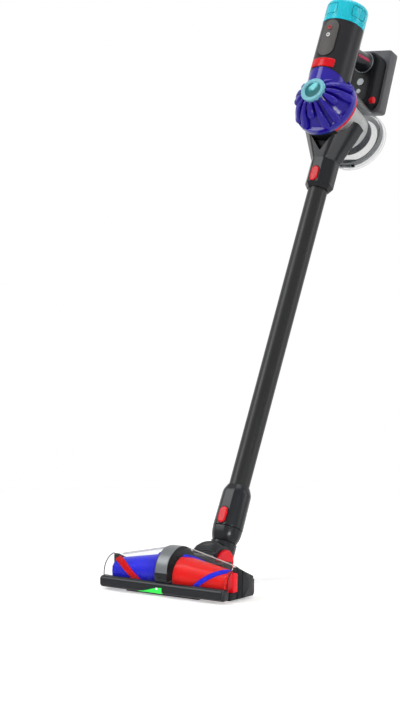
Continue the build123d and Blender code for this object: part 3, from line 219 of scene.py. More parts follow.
@dataclass
class Skin:
    """A mesh in the making: grids of points that are joined into one piece."""

    points: list = field(default_factory=list)
    faces: list = field(default_factory=list)
    uvs: list = field(default_factory=list)
    marks: list = field(default_factory=list)
    total: int = 0

    def grid(self, p: np.ndarray, loop: bool = False, caps: str = "", mark: int | np.ndarray = 0) -> "Skin":
        """Adds the quads between neighbouring points of a grid, its last column joined to the first.

        Args:
            p: points, rows by columns by 3.
            loop: joins the last row to the first.
            caps: "s" closes the first row and "e" the last with a fan to its middle.
            mark: index of the finish, or one for each face.

        Returns:
            This skin.
        """
        n, m = p.shape[:2]
        i, j = np.meshgrid(np.arange(n if loop else n - 1), np.arange(m), indexing="ij")
        corner = [(i, j), (i, j + 1), (i + 1, j + 1), (i + 1, j)]
        quad = np.stack([self.total + (a % n) * m + b % m for a, b in corner], -1).reshape(-1, 4)
        self.uvs.append(np.stack([np.stack([b / m, a / n], -1) for a, b in corner], -2).reshape(-1, 2))
        self.points.append(p.reshape(-1, 3))
        self.faces += quad.tolist()
        marks = np.broadcast_to(mark, i.shape)
        self.marks += marks.ravel().tolist()
        base, self.total = self.total, self.total + n * m
        for end, row, order in (("s", 0, -1), ("e", n - 1, 1)):
            if end in caps:
                self.points.append(p[row].mean(0, keepdims=True))
                k = np.arange(m)
                fan = np.stack([base + row * m + k, base + row * m + (k + 1) % m, np.full(m, self.total)], -1)
                self.faces += fan[:, ::order].tolist()
                self.uvs.append(np.zeros((3 * m, 2)))
                self.marks += [int(marks[min(row, n - 2), 0])] * m
                self.total += 1
        return self

    def build(self, name: str, finishes: list, sharp: float = 34.0) -> bpy.types.Object:
        """Makes the object: metres, doubles merged, faces outward, smooth but for sharp edges.

        Args:
            name: piece name.
            finishes: finishes by mark.
            sharp: angle in degrees above which an edge stays sharp.

        Returns:
            The mesh object.
        """
        mesh = bpy.data.meshes.new(name)
        mesh.from_pydata((np.concatenate(self.points) * MM).tolist(), [], self.faces)
        mesh.uv_layers.new(name="UVMap").data.foreach_set("uv", np.concatenate(self.uvs).ravel())
        mesh.polygons.foreach_set("material_index", self.marks)
        work = bmesh.new()
        work.from_mesh(mesh)
        bmesh.ops.remove_doubles(work, verts=work.verts, dist=MERGE)
        bmesh.ops.dissolve_degenerate(work, edges=work.edges, dist=SLIVER)
        bmesh.ops.recalc_face_normals(work, faces=work.faces)
        work.to_mesh(mesh)
        work.free()
        mesh.shade_smooth()
        mesh.set_sharp_from_angle(angle=math.radians(sharp))
        for finish in finishes:
            mesh.materials.append(finish.material())
        piece = bpy.data.objects.new(name, mesh)
        bpy.context.scene.collection.objects.link(piece)
        return piece

    def fit(self, name: str, finishes: list, body: str, slot: str, *nodes: str, sharp: float = 34.0) -> None:
        """Makes the piece, rides it on its body and hides the solids that it replaces.

        Args:
            name, finishes, sharp: as in build().
            body: body that carries it.
            slot: material slot in the record; not used.
            nodes: solids that it replaces.
        """
        piece = self.build(name, finishes, sharp)
        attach(piece, body)
        if nodes:
            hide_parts(*nodes)
        LOG.info("%s: %d faces on %s", name, len(piece.data.polygons), body)


def turned(axes: Axes, corners: list, closed: bool = False, count: int = 112) -> Skin:
    """Skin of a soft profile turned about a frame's z: joined to a ring, or capped at both ends."""
    return Skin().grid(lathe(axes, soft_profile(corners, closed), count), closed, "" if closed else "se")


# Finishes


def add(tree: bpy.types.NodeTree, kind: str, **values: float) -> bpy.types.ShaderNode:
    """New shader node with values on its sockets; an underscore stands for a space."""
    node = tree.nodes.new("ShaderNode" + kind)
    for socket, value in values.items():
        node.inputs[socket.replace("_", " ")].default_value = value
    return node


def join(tree: bpy.types.NodeTree, *links: tuple) -> None:
    """Links outputs to sockets: rows of output, node and socket."""
    for output, node, socket in links:
        tree.links.new(output, node.inputs[socket])


class Grain(Enum):
    """Surface detail that a finish carries: stretch of its pattern along X, Y and Z. The pile's last
    value only keeps it apart from the moulding's."""

    MOULDED = (1.0, 1.0, 1.0)
    BRUSHED = (1.0, 0.35, 0.06)
    LENGTHWISE = (0.08, 1.0, 1.0)
    PERFORATED = (150.0, 44.0, 1.0)
    PILE = (1.0, 1.0, 1.001)


def linear(code: str) -> tuple:
    """Linear colour of a hex code: the standard curve on each channel, alpha 1."""
    c = np.array([int(code[k : k + 2], 16) for k in (0, 2, 4)]) / 255
    return (*np.where(c <= 0.04045, c / 12.92, ((c + 0.055) / 1.055) ** 2.4), 1.0)


@dataclass(frozen=True)
class Finish:
    """One finish: shader values, and the grain that varies them over the surface."""

    name: str
    colour: str
    rough: float = 0.42
    metal: float = 0.0
    grain: Grain = Grain.MOULDED
    scale: float = 900.0
    vary: float = 0.10
    bump: float = 0.12
    coat: float = 0.0
    alpha: float = 1.0
    rim_alpha: float = 1.0
    glow: float = 0.0
    spec: float = 0.4

    def material(self) -> bpy.types.Material:
        """Node material: a broad and a fine noise vary colour, roughness and relief.

        Returns:
            The material, made once for each name.
        """
        label = "finish_" + self.name
        known = bpy.data.materials.get(label)
        if known:
            return known
        mat = bpy.data.materials.new(label)
        mat.use_nodes = True
        tree = mat.node_tree
        shader = tree.nodes["Principled BSDF"]
        base = linear(self.colour)
        for socket, value in (("Base Color", base), ("Roughness", self.rough), ("Metallic", self.metal),
                              ("Specular IOR Level", self.spec), ("Coat Weight", self.coat),
                              ("Coat Roughness", COAT_ROUGH), ("Alpha", self.alpha),
                              ("Emission Color", base), ("Emission Strength", self.glow)):
            shader.inputs[socket].default_value = value
        coord, stretch = add(tree, "TexCoord"), add(tree, "Mapping", Scale=self.grain.value)
        broad = add(tree, "TexNoise", Scale=BROAD_SCALE, Detail=3.0)
        if self.grain is Grain.PERFORATED:
            fine = add(tree, "TexVoronoi", Scale=1.0, Randomness=0.0)
            fine.voronoi_dimensions = "2D"
            source, level = coord.outputs["UV"], fine.outputs["Distance"]
        else:
            fine = add(tree, "TexNoise", Scale=self.scale, Detail=5.0)
            source, level = coord.outputs["Object"], fine.outputs["Fac"]
        tint = add(tree, "ValToRGB")
        for stop, place, share in zip(tint.color_ramp.elements, (0.3, 0.7), (1 - self.vary, 1 + self.vary)):
            stop.position = place
            stop.color = (*(min(c * share, 1.0) for c in base[:3]), 1.0)
        blend = add(tree, "Mix", Factor=0.5)
        gloss = add(tree, "MapRange", To_Min=max(self.rough * 0.8, 0.02), To_Max=min(self.rough * 1.2 + 0.02, 1.0))
        deep = PILE_RELIEF if self.grain is Grain.PILE else RELIEF
        relief = add(tree, "Bump", Strength=self.bump, Distance=deep)
        join(tree, (source, stretch, "Vector"), (coord.outputs["Object"], broad, "Vector"),
             (stretch.outputs["Vector"], fine, "Vector"), (broad.outputs["Fac"], blend, "A"), (level, blend, "B"),
             (blend.outputs["Result"], tint, "Fac"), (tint.outputs["Color"], shader, "Base Color"),
             (broad.outputs["Fac"], gloss, "Value"), (gloss.outputs["Result"], shader, "Roughness"),
             (level, relief, "Height"), (relief.outputs["Normal"], shader, "Normal"))
        if self.rim_alpha != self.alpha:
            facing = add(tree, "LayerWeight", Blend=RIM_BLEND)
            share = add(tree, "MapRange", To_Min=self.alpha, To_Max=self.rim_alpha)
            join(tree, (facing.outputs["Facing"], share, "Value"), (share.outputs["Result"], shader, "Alpha"))
        if self.alpha < 1:
            mat.surface_render_method = "BLENDED"
        return mat


CHARCOAL = Finish("charcoal_moulding", "1a1c20", 0.24, spec=0.24)
DARK = Finish("dark_moulding", "17181b", 0.38, spec=0.12)
BLACK = Finish("black_rubber", "0a0b0c", 0.5, spec=0.2)
SHELL = Finish("shell_moulding", "232226", 0.32, spec=0.2)
TUBE = Finish("black_satin_tube", "101112", 0.36, 0, Grain.BRUSHED, 600, vary=0.05, bump=0.0, spec=0.34)
SILVER = Finish("silver_grey_paint", "6d7173", 0.3, metal=0.35, vary=0.06)
PALE = Finish("pale_rail", "bcbdb9", 0.3, vary=0.05)
STEEL = Finish("bright_steel", "85888a", 0.34, 0.6, Grain.LENGTHWISE, 1400, vary=0.15, spec=0.2)
RED = Finish("red_moulding", "dc0a1c", 0.24, coat=0.1, spec=0.15)
RED_CONE = Finish("red_cone", "ea0a04", 0.3, coat=0.08, vary=0.2, bump=0.02, spec=0.15)
BLUE_CONE = Finish("blue_cone", "1414e2", 0.3, coat=0.08, vary=0.2, bump=0.02, spec=0.15)
RED_PILE = Finish("red_pile", "f0040e", 0.9, 0, Grain.PILE, 2600, vary=0.3, bump=0.9, spec=0.05)
BLUE_PILE = Finish("blue_pile", "2530f4", 0.9, 0, Grain.PILE, 2600, vary=0.3, bump=0.9, spec=0.05)
CLEAR = Finish("clear_plastic", "8b9092", 0.05, alpha=0.04, rim_alpha=0.4, vary=0.02, bump=0.0)
COVER = Finish("clear_cover", "8b9092", 0.06, alpha=0.008, rim_alpha=0.12, vary=0.02, bump=0.0)
SMOKE = Finish("smoked_clear", "84888a", 0.12, alpha=0.7, rim_alpha=0.9, vary=0.1, bump=0.0)
LENS = Finish("green_lens", "22d845", 0.15, glow=0.6, vary=0.25)
PURPLE = Finish("purple_moulding", "2512a0", 0.13, coat=0.4, vary=0.14, spec=0.1)
BAND_BLUE = Finish("deep_blue_band", "1f2f9e", 0.22, coat=0.5)
TEAL = Finish("teal_ring", "78c0ce", 0.32, vary=0.06, spec=0.3)
BOWL = Finish("teal_bowl", "0a6a70", 0.14, metal=0.5, coat=0.5, spec=0.3)
TURQUOISE = Finish("turquoise_translucent", "00e2f6", 0.16, alpha=0.62, rim_alpha=0.92, coat=0.35,
                   vary=0.05, spec=0.15)
FRAME_TEAL = Finish("teal_filter_frame", "04788a", 0.35, spec=0.15)
SKIRT = Finish("turquoise_skirt", "18cbe0", 0.2, vary=0.05, spec=0.2)
# Left cover rail: the same rail made see-through so that it shows pale, painted light in place of the shade on its
# front.
LEFT_RAIL_PAINTED_LIGHT = Finish("left_rail_painted_light", "c9cac8", 0.2, alpha=0.25, rim_alpha=0.4, vary=0.03, bump=0.0)
PLEATS = Finish("pleated_paper", "f2fbfb", 0.85, scale=2400, bump=0.3, vary=0.04)
MESH = Finish("perforated_steel", "f1f2f3", 0.34, grain=Grain.PERFORATED, vary=0.3, bump=0.3)
FOOT = Finish("shroud_foot_moulding", "241f2e", 0.35)
GREY = Finish("battery_grey", "656568", 0.34, vary=0.07, spec=0.15)
PANEL = Finish("panel_grey", "5c5a58", 0.4, scale=2200, vary=0.14, spec=0.15)
MAGENTA = Finish("magenta_trim", "b8164c", 0.4)
WHITE = Finish("white_moulding", "d9dbdb", 0.4, vary=0.04)
NYLON = Finish("white_nylon", "cfcfcb", 0.55)
LED = Finish("led_core", "c8ffd2", 0.2, vary=0.05, glow=1.2)


def dress(**finishes: Finish) -> None:
    """Puts finishes on solids that stay as they are, by node name."""
    for name, finish in finishes.items():
        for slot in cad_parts[name].material_slots:
            slot.material = finish.material()
        LOG.info("%s dressed as %s", name, finish.name)


# Sub-assemblies


@dataclass
class RearFilter:
    """Translucent cap over pleated paper, with four window frames inside."""

    body: str = "rear_filter"
    radius: float = 39.0
    bottom: float = 309.6
    top: float = 348.4
    wall: float = 2.2
    sink: float = 0.8
    pleats: int = 56
    drum: float = 33.0
    fold: float = 1.3
    window: tuple = (15.6, 10.6)
    window_rise: float = 327.6
    window_reach: float = 38.6

    def cap(self) -> Skin:
        """Cup turned about the motor axis: inner wall, lower edge, outer wall, stepped top."""
        r, low, top, sunk = self.radius, self.bottom, self.top, self.top - self.sink
        inner, roof = r - self.wall, top - self.wall
        return turned(MOTOR, [(POLE, roof - 0.8), (inner, roof, 6), (inner, low, 0.2), (r, low, 0.4),
            (r, top, 8), (29.8, top, 0.5), (29.0, sunk, 0.5), (POLE, sunk)])

    def paper(self) -> Skin:
        """Pleated drum: its radius plus a triangle wave of the angle."""
        turn = circle(self.pleats * 6)
        wave = self.drum + self.fold * (2 / np.pi) * np.arcsin(np.sin(self.pleats * turn))
        r = np.array([[0.9], [1], [1], [0.9]]) * wave
        h = np.array([self.bottom + 2, self.bottom + 3, self.top - 7, self.top - 6])[:, None]
        return Skin().grid(MOTOR.place(polar(r, turn, h)), caps="se")

    def frames(self) -> Skin:
        """Rods round four rounded windows, a quarter turn apart."""
        skin, reach = Skin(), self.window_reach
        ring = rounded_ring(self.window, 4, 64)
        for turn in (-109, -19, 71, 161):
            skin.grid(loop_tube(MOTOR.facing(turn, reach, self.window_rise), ring, reach, 0.75), loop=True)
        return skin

    def build(self) -> None:
        """Makes and fits the filter's pieces."""
        self.cap().fit("filter_cap", [TURQUOISE], self.body, "turquoise", "rear_cap")
        self.paper().fit("filter_paper", [PLEATS], self.body, "filter_cloth", "rear_media")
        skirt = [(38.65, 304.9, 0.1), (39.1, 304.9, 0.2), (39.1, 309.9, 0.1), (38.65, 309.9, 0.1)]
        turned(MOTOR, skirt, True).fit("filter_skirt", [SKIRT], self.body, "turquoise")
        self.frames().fit("filter_frames", [FRAME_TEAL], self.body, "teal")


@dataclass
class MotorBody:
    """Shell with its control panel, keys, release lever and rear spine."""

    radius: float = 38.5
    panel_rise: float = 265.0
    panel_half: tuple = (16.0, 37.0)
    panel_proud: float = 1.4
    power_rise: float = 285.0
    boost_rise: float = 270.0
    key_bend: float = 40.0
    lever_rise: float = 214.3
    spine_rise: float = 246.5

    def front(self, rise: float, proud: float = 0.0) -> Axes:
        """Frame on the shell's front at a rise."""
        return MOTOR.facing(-90, self.radius + proud, rise)

    def plate(self, rise: float, half: tuple, corner: float, steps: list) -> Skin:
        """Pad rolled on the shell's front."""
        return Skin().grid(pad(self.front(rise), half, corner, steps, self.radius))

    def key(self, rise: float, radius: float) -> Skin:
        """Round key with a soft crown, which stays proud of the panel when it is pressed."""
        steps = [(0, -3.0), (0, 1.0), (0.3, 1.25), (0.8, 1.3)]
        return Skin().grid(pad(self.front(rise, self.panel_proud), (radius, radius), radius, steps, self.key_bend, 48))

    def build(self) -> None:
        """Makes and fits the shell's pieces."""
        dress(motor_shell=SHELL, fan_motor=DARK, fan_impeller=WHITE)
        a, b = self.panel_half
        face = [(0, -1.2), (0, 1.0), (0.5, 1.3), (1.2, self.panel_proud)]
        self.plate(self.panel_rise, (a, b), a, face).fit(
            "panel_face", [PANEL], "machine", "panel_grey", "control_panel")
        self.plate(self.panel_rise, (a + 3, b + 2.6), a + 3, [(0, -1.0), (0, 0.3), (0.4, 0.5)]).fit(
            "panel_surround", [BLACK], "machine", "charcoal")
        skin = self.key(self.power_rise, 4.9)
        ring = rounded_ring((2.9, 2.9), 2.9, 48)
        skin.grid(loop_tube(self.front(self.power_rise, 3.0), ring, self.radius + 3.0, 0.55), loop=True, mark=1)
        stroke = [(0, 0), (0, 0.7), (0.2, 0.9)]
        skin.grid(pad(self.front(self.power_rise + 1.8, 2.5), (0.55, 1.9), 0.5, stroke, self.key_bend, 24), mark=1)
        skin.fit("power_key_cap", [PANEL, RED], "power_key", "red", "power_button")
        skin = self.key(self.boost_rise, 3.9)
        dot = [(0, -1), (0, 0.4), (0.2, 0.5)]
        skin.grid(pad(self.front(self.boost_rise, 2.4), (1.5, 1.5), 1.5, dot, self.key_bend, 32), mark=1)
        skin.fit("boost_key_cap", [WHITE, BLACK], "boost_key", "silver", "boost_button")
        bar = [(0, 0.1), (0, 1.2), (0.5, 1.6), (1.4, 1.8), (4, 1.9)]
        self.plate(self.lever_rise, (25.4, 8.4), 3, bar).fit(
            "release_lever", [RED], "bin_release", "red", "bin_lever")
        spine = pad(MOTOR.facing(90, self.radius, self.spine_rise), (50.0, 61.0), 5,
                    [(0, -0.6), (0, 0.4), (0.4, 0.6)], self.radius, 240)
        Skin().grid(spine).fit("shell_spine", [SILVER], "machine", "charcoal")


@dataclass
class CyclonePack:
    """Purple dome with fifteen tapered fingers, its collar under the shell and the teal cap."""

    radius: float = 60.0
    depth: float = 60.0
    rim: float = 13.0
    fingers: int = 15
    start: tuple = (20.0, 3.0)
    bend: tuple = (50.0, 10.0)
    end: tuple = (63.0, 48.0)
    root: float = 3.0
    groove: float = 0.2
    collar_radius: float = 38.1

    def finger(self, turn: float, reach: float, tip: float) -> np.ndarray:
        """Tapered finger: circles along a parabola (1-t)^2 a + 2t(1-t) b + t^2 c under the dome's
        envelope, each as wide as its place asks, ended by a half ball; the top has a shallow groove.

        Args:
            turn: degrees round the dome.
            reach: end of the parabola's parameter.
            tip: radius at the end.

        Returns:
            Grid of circles.
        """
        a, b, c = (np.array(v) for v in (self.start, self.bend, self.end))
        t = np.r_[np.linspace(0.03, reach, 26), np.full(9, reach)][:, None]
        dome = np.r_[np.zeros(26), np.linspace(0.1, 1.0, 9) * np.pi / 2][:, None]
        line = (1 - t) ** 2 * a + 2 * t * (1 - t) * b + t**2 * c
        along = unit((1 - t) * (b - a) + t * (c - b))
        out = np.stack([along[:, 1], -along[:, 0]], -1)
        wide = self.root + (tip - self.root) * smooth(t / reach)
        centre = line - out * wide + along * wide * np.sin(dome)
        phi = circle(40)
        dip = self.groove * np.exp(-((np.angle(np.exp(1j * phi)) / 0.5) ** 2)) * smooth((reach - t) / 0.12)
        round_r = np.maximum(wide * np.cos(dome), 0.02) * (1 - dip)
        r = centre[:, :1] + out[:, :1] * round_r * np.cos(phi)
        s = centre[:, 1:] + out[:, 1:] * round_r * np.cos(phi)
        w = round_r * np.sin(phi)
        ca, sa = math.cos(math.radians(turn)), math.sin(math.radians(turn))
        return CYCLONE.place(np.stack([r * ca - w * sa, r * sa + w * ca, -s], -1))

    def dome(self) -> Skin:
        """Lower dome turned about the cyclone axis, with the fingers laid on it, each third one short."""
        d, r = self.depth, self.radius
        skin = turned(CYCLONE, [(POLE, -d), (r, -d, 0.8), (r, -d + self.rim, 1.5), (52, -46, 3), (41, -30, 7),
                                (27, -17, 5), (21, -8, 2), (POLE, -7)], count=160)
        for k in range(self.fingers):
            reach, tip = (0.92, 8.0) if k % 3 else (0.5, 7.6)
            skin.grid(self.finger(-90 + 360 / self.fingers * k, reach, tip), caps="se")
        return skin

    def collar(self) -> Skin:
        """Round collar about the motor axis: its top is the shell's sloping edge, its bottom ends
        in the dome, or just outside the bin's ring where it passes over it."""
        r, turn = self.collar_radius, circle(144)
        top = 188.5 - r * np.sin(turn) * 33 / 77 + 1.0
        rise = np.linspace(100, 200, 301)[:, None]
        p = CYCLONE.local(MOTOR.place(polar(r, turn, rise)))
        dome = np.interp(-p[..., 2], [0, 20, 45, 59, 59.1], [14, 30, 48, 52, 59.2])
        clear = np.hypot(p[..., 0], p[..., 1]) > dome
        first = len(rise) - np.argmin(clear[::-1], axis=0)
        low = np.minimum(rise[np.clip(first, 0, len(rise) - 1), 0], top - 1)
        t = np.linspace(0, 1, 12)[:, None]
        return Skin().grid(MOTOR.place(polar(r, turn, low + (top - low) * t)), caps="se")

    def build(self) -> None:
        """Makes and fits the pack's pieces."""
        self.dome().fit("cyclone_dome", [PURPLE], "machine", "purple", "cyclone_pack", sharp=50)
        self.collar().fit("cyclone_collar", [PURPLE], "machine", "purple")
        low, high = -self.depth + 0.2, -self.depth + 5.2
        band = [(59, low), (60.4, low, 0.4), (60.4, high, 0.4), (59, high)]
        turned(CYCLONE, band, True, 160).fit("pack_band", [BAND_BLUE], "machine", "purple")
        ring = [(15.8, -7.5, 0.6), (24, -7.5, 0.6), (24, 0, 2.6), (17.2, 0, 1.6), (15.8, -2, 0.8)]
        turned(CYCLONE, ring, True).fit("cap_rim", [TEAL], "front_filter", "teal", "cap_ring")
        dish = [(0.6, -5.6), (15.9, -5.6, 0.2), (15.9, -1.9, 0.4), (12, -3.2, 3), (0.6, -3.9)]
        turned(CYCLONE, dish).fit("cap_dish", [BOWL], "front_filter", "teal_bowl", "cap_bowl")
        dress(filter_sleeve=PLEATS)


@dataclass
class DustBin:
    """Clear bin with its perforated shroud, foot, red ring and hinged door."""

    shroud_radius: float = 40.5
    foot_inner: float = 36.8
    door_top: float = -175.4
    fine: int = 128

    def build(self) -> None:
        """Makes and fits the bin's pieces."""
        dress(dust_bin=CLEAR, bin_door=CLEAR, bin_ring=RED, door_pin=STEEL)
        r, b = self.shroud_radius, self.foot_inner
        line = [(34, -145.9), (r, -145.9, 0.3), (r, -64, 0.5), (50, -63.2, 0.3), (50, -60.3, 0.3), (34, -60.3)]
        turned(CYCLONE, line, True, self.fine).fit("shroud_screen", [MESH], "machine", "mesh_steel", "shroud")
        line = [(POLE, -149.6), (b, -149.6, 0.6), (b, -164, 0.4), (r - 1.4, -165, 1.4), (r, -154, 5),
                (r, -146.2, 0.3), (POLE, -146.2)]
        turned(CYCLONE, line, False, self.fine).fit("shroud_base", [FOOT], "machine", "charcoal", "shroud_foot")
        line = [(45.5, -175.6, 0.6), (53.6, -175.6, 0.6), (53.6, -170, 0.6), (46.5, -172.5, 1)]
        turned(CYCLONE, line, True, self.fine).fit("door_band", [SMOKE], "door", "clear")
        line = [(57.05, -175.2, 0.1), (57.6, -175.2, 0.2), (57.6, -162.5, 0.2), (57.05, -162.5, 0.1)]
        turned(CYCLONE, line, True, self.fine).fit("bin_band", [SMOKE], "machine", "clear")
        bar = [(0, 0), (0, 4.2), (0.5, 4.8), (1, 4.9)]
        skin = Skin().grid(pad(CYCLONE.at(0, -47, self.door_top), (25, 2.9), 1.5, bar))
        for x in (-14, 14):
            skin.grid(pad(CYCLONE.at(x, -57, self.door_top), (3, 1.8), 0.8, bar, 0, 40))
        skin.fit("door_gasket", [BLACK], "door", "charcoal")


@dataclass
class HandleAndBattery:
    """Grip with trims, the dock behind it and the battery slab."""

    reach: float = 97.4
    radius: float = 17.0
    dock_half: tuple = (29.5, 55)
    dock_drop: float = -7.7
    slab_half: tuple = (35.5, 63)
    key_radius: float = 6.2

    def build(self) -> None:
        """Makes and fits the grip's, dock's and battery's pieces."""
        r, e = self.radius, self.reach
        line = [(POLE, 30), (r + 2.4, 30), (r + 2.4, 40, 2), (r, 46, 5), (r, e - 12, 6), (r + 3.2, e - 3, 3),
                (r + 3.2, e, 0.4), (POLE, e)]
        turned(GRIP, line).fit("grip_handle", [CHARCOAL], "machine", "charcoal", "hand_grip")
        line = [(r + 1, e - 5.5), (r + 3.3, e - 5.2, 0.4), (r + 3.9, e - 4, 0.5), (r + 3.9, e - 2.6, 0.5),
                (r + 1, e - 2.6)]
        turned(GRIP, line, True).fit("grip_ring", [SILVER], "machine", "silver")
        skin = Skin()
        for turn in (0, 180):
            skin.grid(pad(GRIP.facing(turn, r, 64), (2.5, 22), 2.5, [(0, -1), (0, 0.3), (0.4, 0.5)], r, 64))
        skin.fit("grip_stripes", [MAGENTA], "machine", "red", "grip_trims")
        ahead = tuple(-np.array(BATTERY.z))
        face = Axes(tuple(BATTERY.place((0, self.dock_drop, 0))), X, BATTERY.y, ahead)
        tiers = [(0, 0.1), (0, 24), (0.8, 26.6), (2.8, 28.4), (5.6, 29.0), (6.3, 29.0), (6.9, 28.2), (7.7, 28.2),
                 (8.4, 29.2), (10, 29.7)]
        Skin().grid(pad(face, self.dock_half, 20, tiers, 0, 160)).fit(
            "dock_body", [DARK], "machine", "charcoal", "battery_dock")
        dress(battery_cells=GREY, dock_discs=SILVER)
        slab = [(1.6, 0), (0.5, 0.4), (0, 1.4), (0, 20.8), (0.6, 22.0), (1.8, 22.5)]
        Skin().grid(pad(BATTERY, self.slab_half, 6.5, slab, 0, 200)).fit(
            "battery_shell", [GREY], "machine", "battery_grey", "battery_case")
        k = self.key_radius
        seat = Axes((self.dock_half[0], 522.1, 846.1), (0, 1, 0), (0, 0, 1), X)
        crown = [(0, -5), (0, 2.2), (0.5, 2.7), (1.6, 3.05), (3.5, 3.1)]
        Skin().grid(pad(seat, (k, k), k, crown, 0, 64)).fit(
            "battery_release_key", [RED], "battery_release", "red", "battery_button")

@dataclass
class Wand:
    """Faceted inlet neck with its fork, tube, lower collar, neck socket and red buttons."""

    bottom: float = 721.1
    facets: tuple = (0, 50, -50, 100, -100, 145, -145, 180)
    tube_reach: tuple = (24.6, 25, 25, 25.2, 25.2, 25.2, 25.2, 25.2)
    fork_reach: tuple = (43.0, 55, 55, 56, 56, 45, 45, 27.0)
    power: float = 26.0
    flat: float = 0.93
    fork_start: float = 56.0
    notch_start: float = 68.0
    notch_depth: float = 11.0
    crease: float = 26.0

    def section(self, theta: np.ndarray, reach: np.ndarray) -> np.ndarray:
        """Soft polygon: radius = 1 / (sum of (cos(angle to facet) / reach)^p)^(1/p).

        Args:
            theta: angle from the front, radians.
            reach: distance of each facet from the axis, last axis by facet.

        Returns:
            Radius at each angle.
        """
        lean = np.cos(theta[..., None] - np.radians(self.facets))
        return np.sum((np.maximum(lean, 0) / reach) ** self.power, -1) ** (-1 / self.power)

    def tube(self, corners: list) -> Skin:
        """Round tube with a flat front: a soft line of height and radius R, and at each angle t the
        smaller of R and 0.93 R / cos t."""
        rows = soft_profile(corners)
        theta = circle(160)
        r = rows[:, 1:] * np.minimum(1.0, self.flat / np.maximum(np.cos(theta), 0.5))
        p = np.stack([r * np.sin(theta), -r * np.cos(theta), rows[:, :1] + 0 * theta], -1)
        return Skin().grid(WAND.place(p), caps="se")

    def bin_reach(self, along: np.ndarray) -> np.ndarray:
        """Distance of the bin's underside from the cyclone axis: its ring above, its wall below."""
        return np.where(along > RING_EDGE, RING_REACH, BIN_REACH)

    def neck(self) -> Skin:
        """Inlet neck: a faceted tube that opens into a fork. Facet distances blend from the tube's
        to the fork's with height, a triangle is pressed into the front, and the rim follows the
        bin's round underside; a closing sheet lies along that underside. The pressed triangle and the sheet are
        painted black as shade."""
        theta = circle(420)
        low, high = np.array(self.tube_reach), np.array(self.fork_reach)
        w = np.r_[0.0, 0.6, np.linspace(8, self.fork_start, 22), np.linspace(57, 128, 150)]
        share = np.clip((w - self.fork_start) / 70, 0, 1.06)[:, None, None]
        chamfer = np.interp(w, [0, 8], [0.8, 1.0])[:, None, None]
        w = w[:, None]
        r = self.section(theta[None, :] + 0 * w, chamfer * (low + (high - low) * share))
        x, v = r * np.sin(theta), -r * np.cos(theta)
        above = w - self.notch_start
        press = smooth(above / 8) * smooth((0.8 * above - np.abs(x)) / 2.6) * (v < 0)
        p = WAND.place(np.stack([x, v + self.notch_depth * press, w + self.bottom + 0 * x], -1))
        q = CYCLONE.local(p)
        inside = np.hypot(q[..., 0], q[..., 1]) < self.bin_reach(q[..., 2])
        last = np.where(inside.any(0), np.argmax(inside, 0) - 1, len(w) - 1)
        pick = np.minimum(np.arange(len(w))[:, None], last[None, :]), np.arange(len(theta))
        p, notch_shade = p[pick], (press > 0.3)[pick]
        rim = CYCLONE.local(p[-1])
        t = np.linspace(0, 1, 10)[:, None]
        sx, sz = rim[:, 0] * (1 - t), rim[:, 2] * (1 - t) + rim[:, 2].mean() * t
        hug = -np.sqrt(np.maximum(self.bin_reach(sz) ** 2 - sx**2, 4))
        sheet = CYCLONE.place(np.stack([sx, np.minimum(hug, rim[:, 1] * (1 - t) + hug * t), sz], -1))[1:]
        # Mark 1 paints the pressed notch and the closing sheet black: painted shade in the notch and under the bin.
        mark = np.concatenate([notch_shade, np.ones(sheet.shape[:2], bool)])[:-1].astype(int)
        return Skin().grid(np.concatenate([p, sheet]), caps="se", mark=mark)

    def build(self) -> None:
        """Makes and fits the wand's pieces."""
        self.neck().fit("inlet_fork", [CHARCOAL, BLACK], "machine", "charcoal", "inlet_neck", sharp=self.crease)
        saddle = pad(CYCLONE.facing(-90, BIN_REACH, -74), (33, 13.4), 4, [(0, -0.4), (0, 1.2), (0.6, 1.6)],
                     BIN_REACH, 120)
        Skin().grid(saddle).fit("fork_saddle", [DARK], "machine", "charcoal")
        turned(WAND, [(POLE, 133), (18, 133), (18, 735), (POLE, 735)]).fit(
            "wand_pipe", [TUBE], "machine", "black_tube", "wand_tube")
        rows = [(69.9, 22.6), (67.7, 22.6, 0.2), (67.7, 25.9, 0.2), (68.3, 26.5, 0.3), (133, 25.3, 5),
                (144.6, 19.6, 0.4), (145.1, 18.6)]
        self.tube(rows).fit("lower_collar", [CHARCOAL], "machine", "charcoal", "wand_collar", sharp=self.crease)
        rows = [(41.7, 19), (42, 21, 0.4), (52, 25.2, 6), (66.6, 26.3, 0.3), (67.2, 25.6, 0.2),
                (67.2, 20.5, 0.2), (69.5, 20.5, 0.3), (69.5, 19)]
        self.tube(rows).fit("swivel_socket", [CHARCOAL], "neck", "charcoal", "neck_socket", sharp=self.crease)
        crown = [(0, -3), (0, 1.8), (0.5, 2.2), (1.5, 2.45), (4, 2.5)]
        edge = [(0, -2), (0, 0.2), (0.3, 0.3)]
        for name, node, body, height, reach in (
            ("lower_release_key", "collar_button", "lower_release", 84.6, 25.0),
            ("upper_release_key", "inlet_button", "upper_release", 744.1, 24.4),
        ):
            seat = WAND.facing(-90, reach, height)
            Skin().grid(pad(seat, (8, 14.5), 8, crown, 0, 80)).fit(name, [RED], body, "red", node)
            Skin().grid(pad(seat, (9.5, 16.0), 9.5, edge, 0, 80)).fit(
                name + "_outline", [BLACK], "machine", "charcoal")


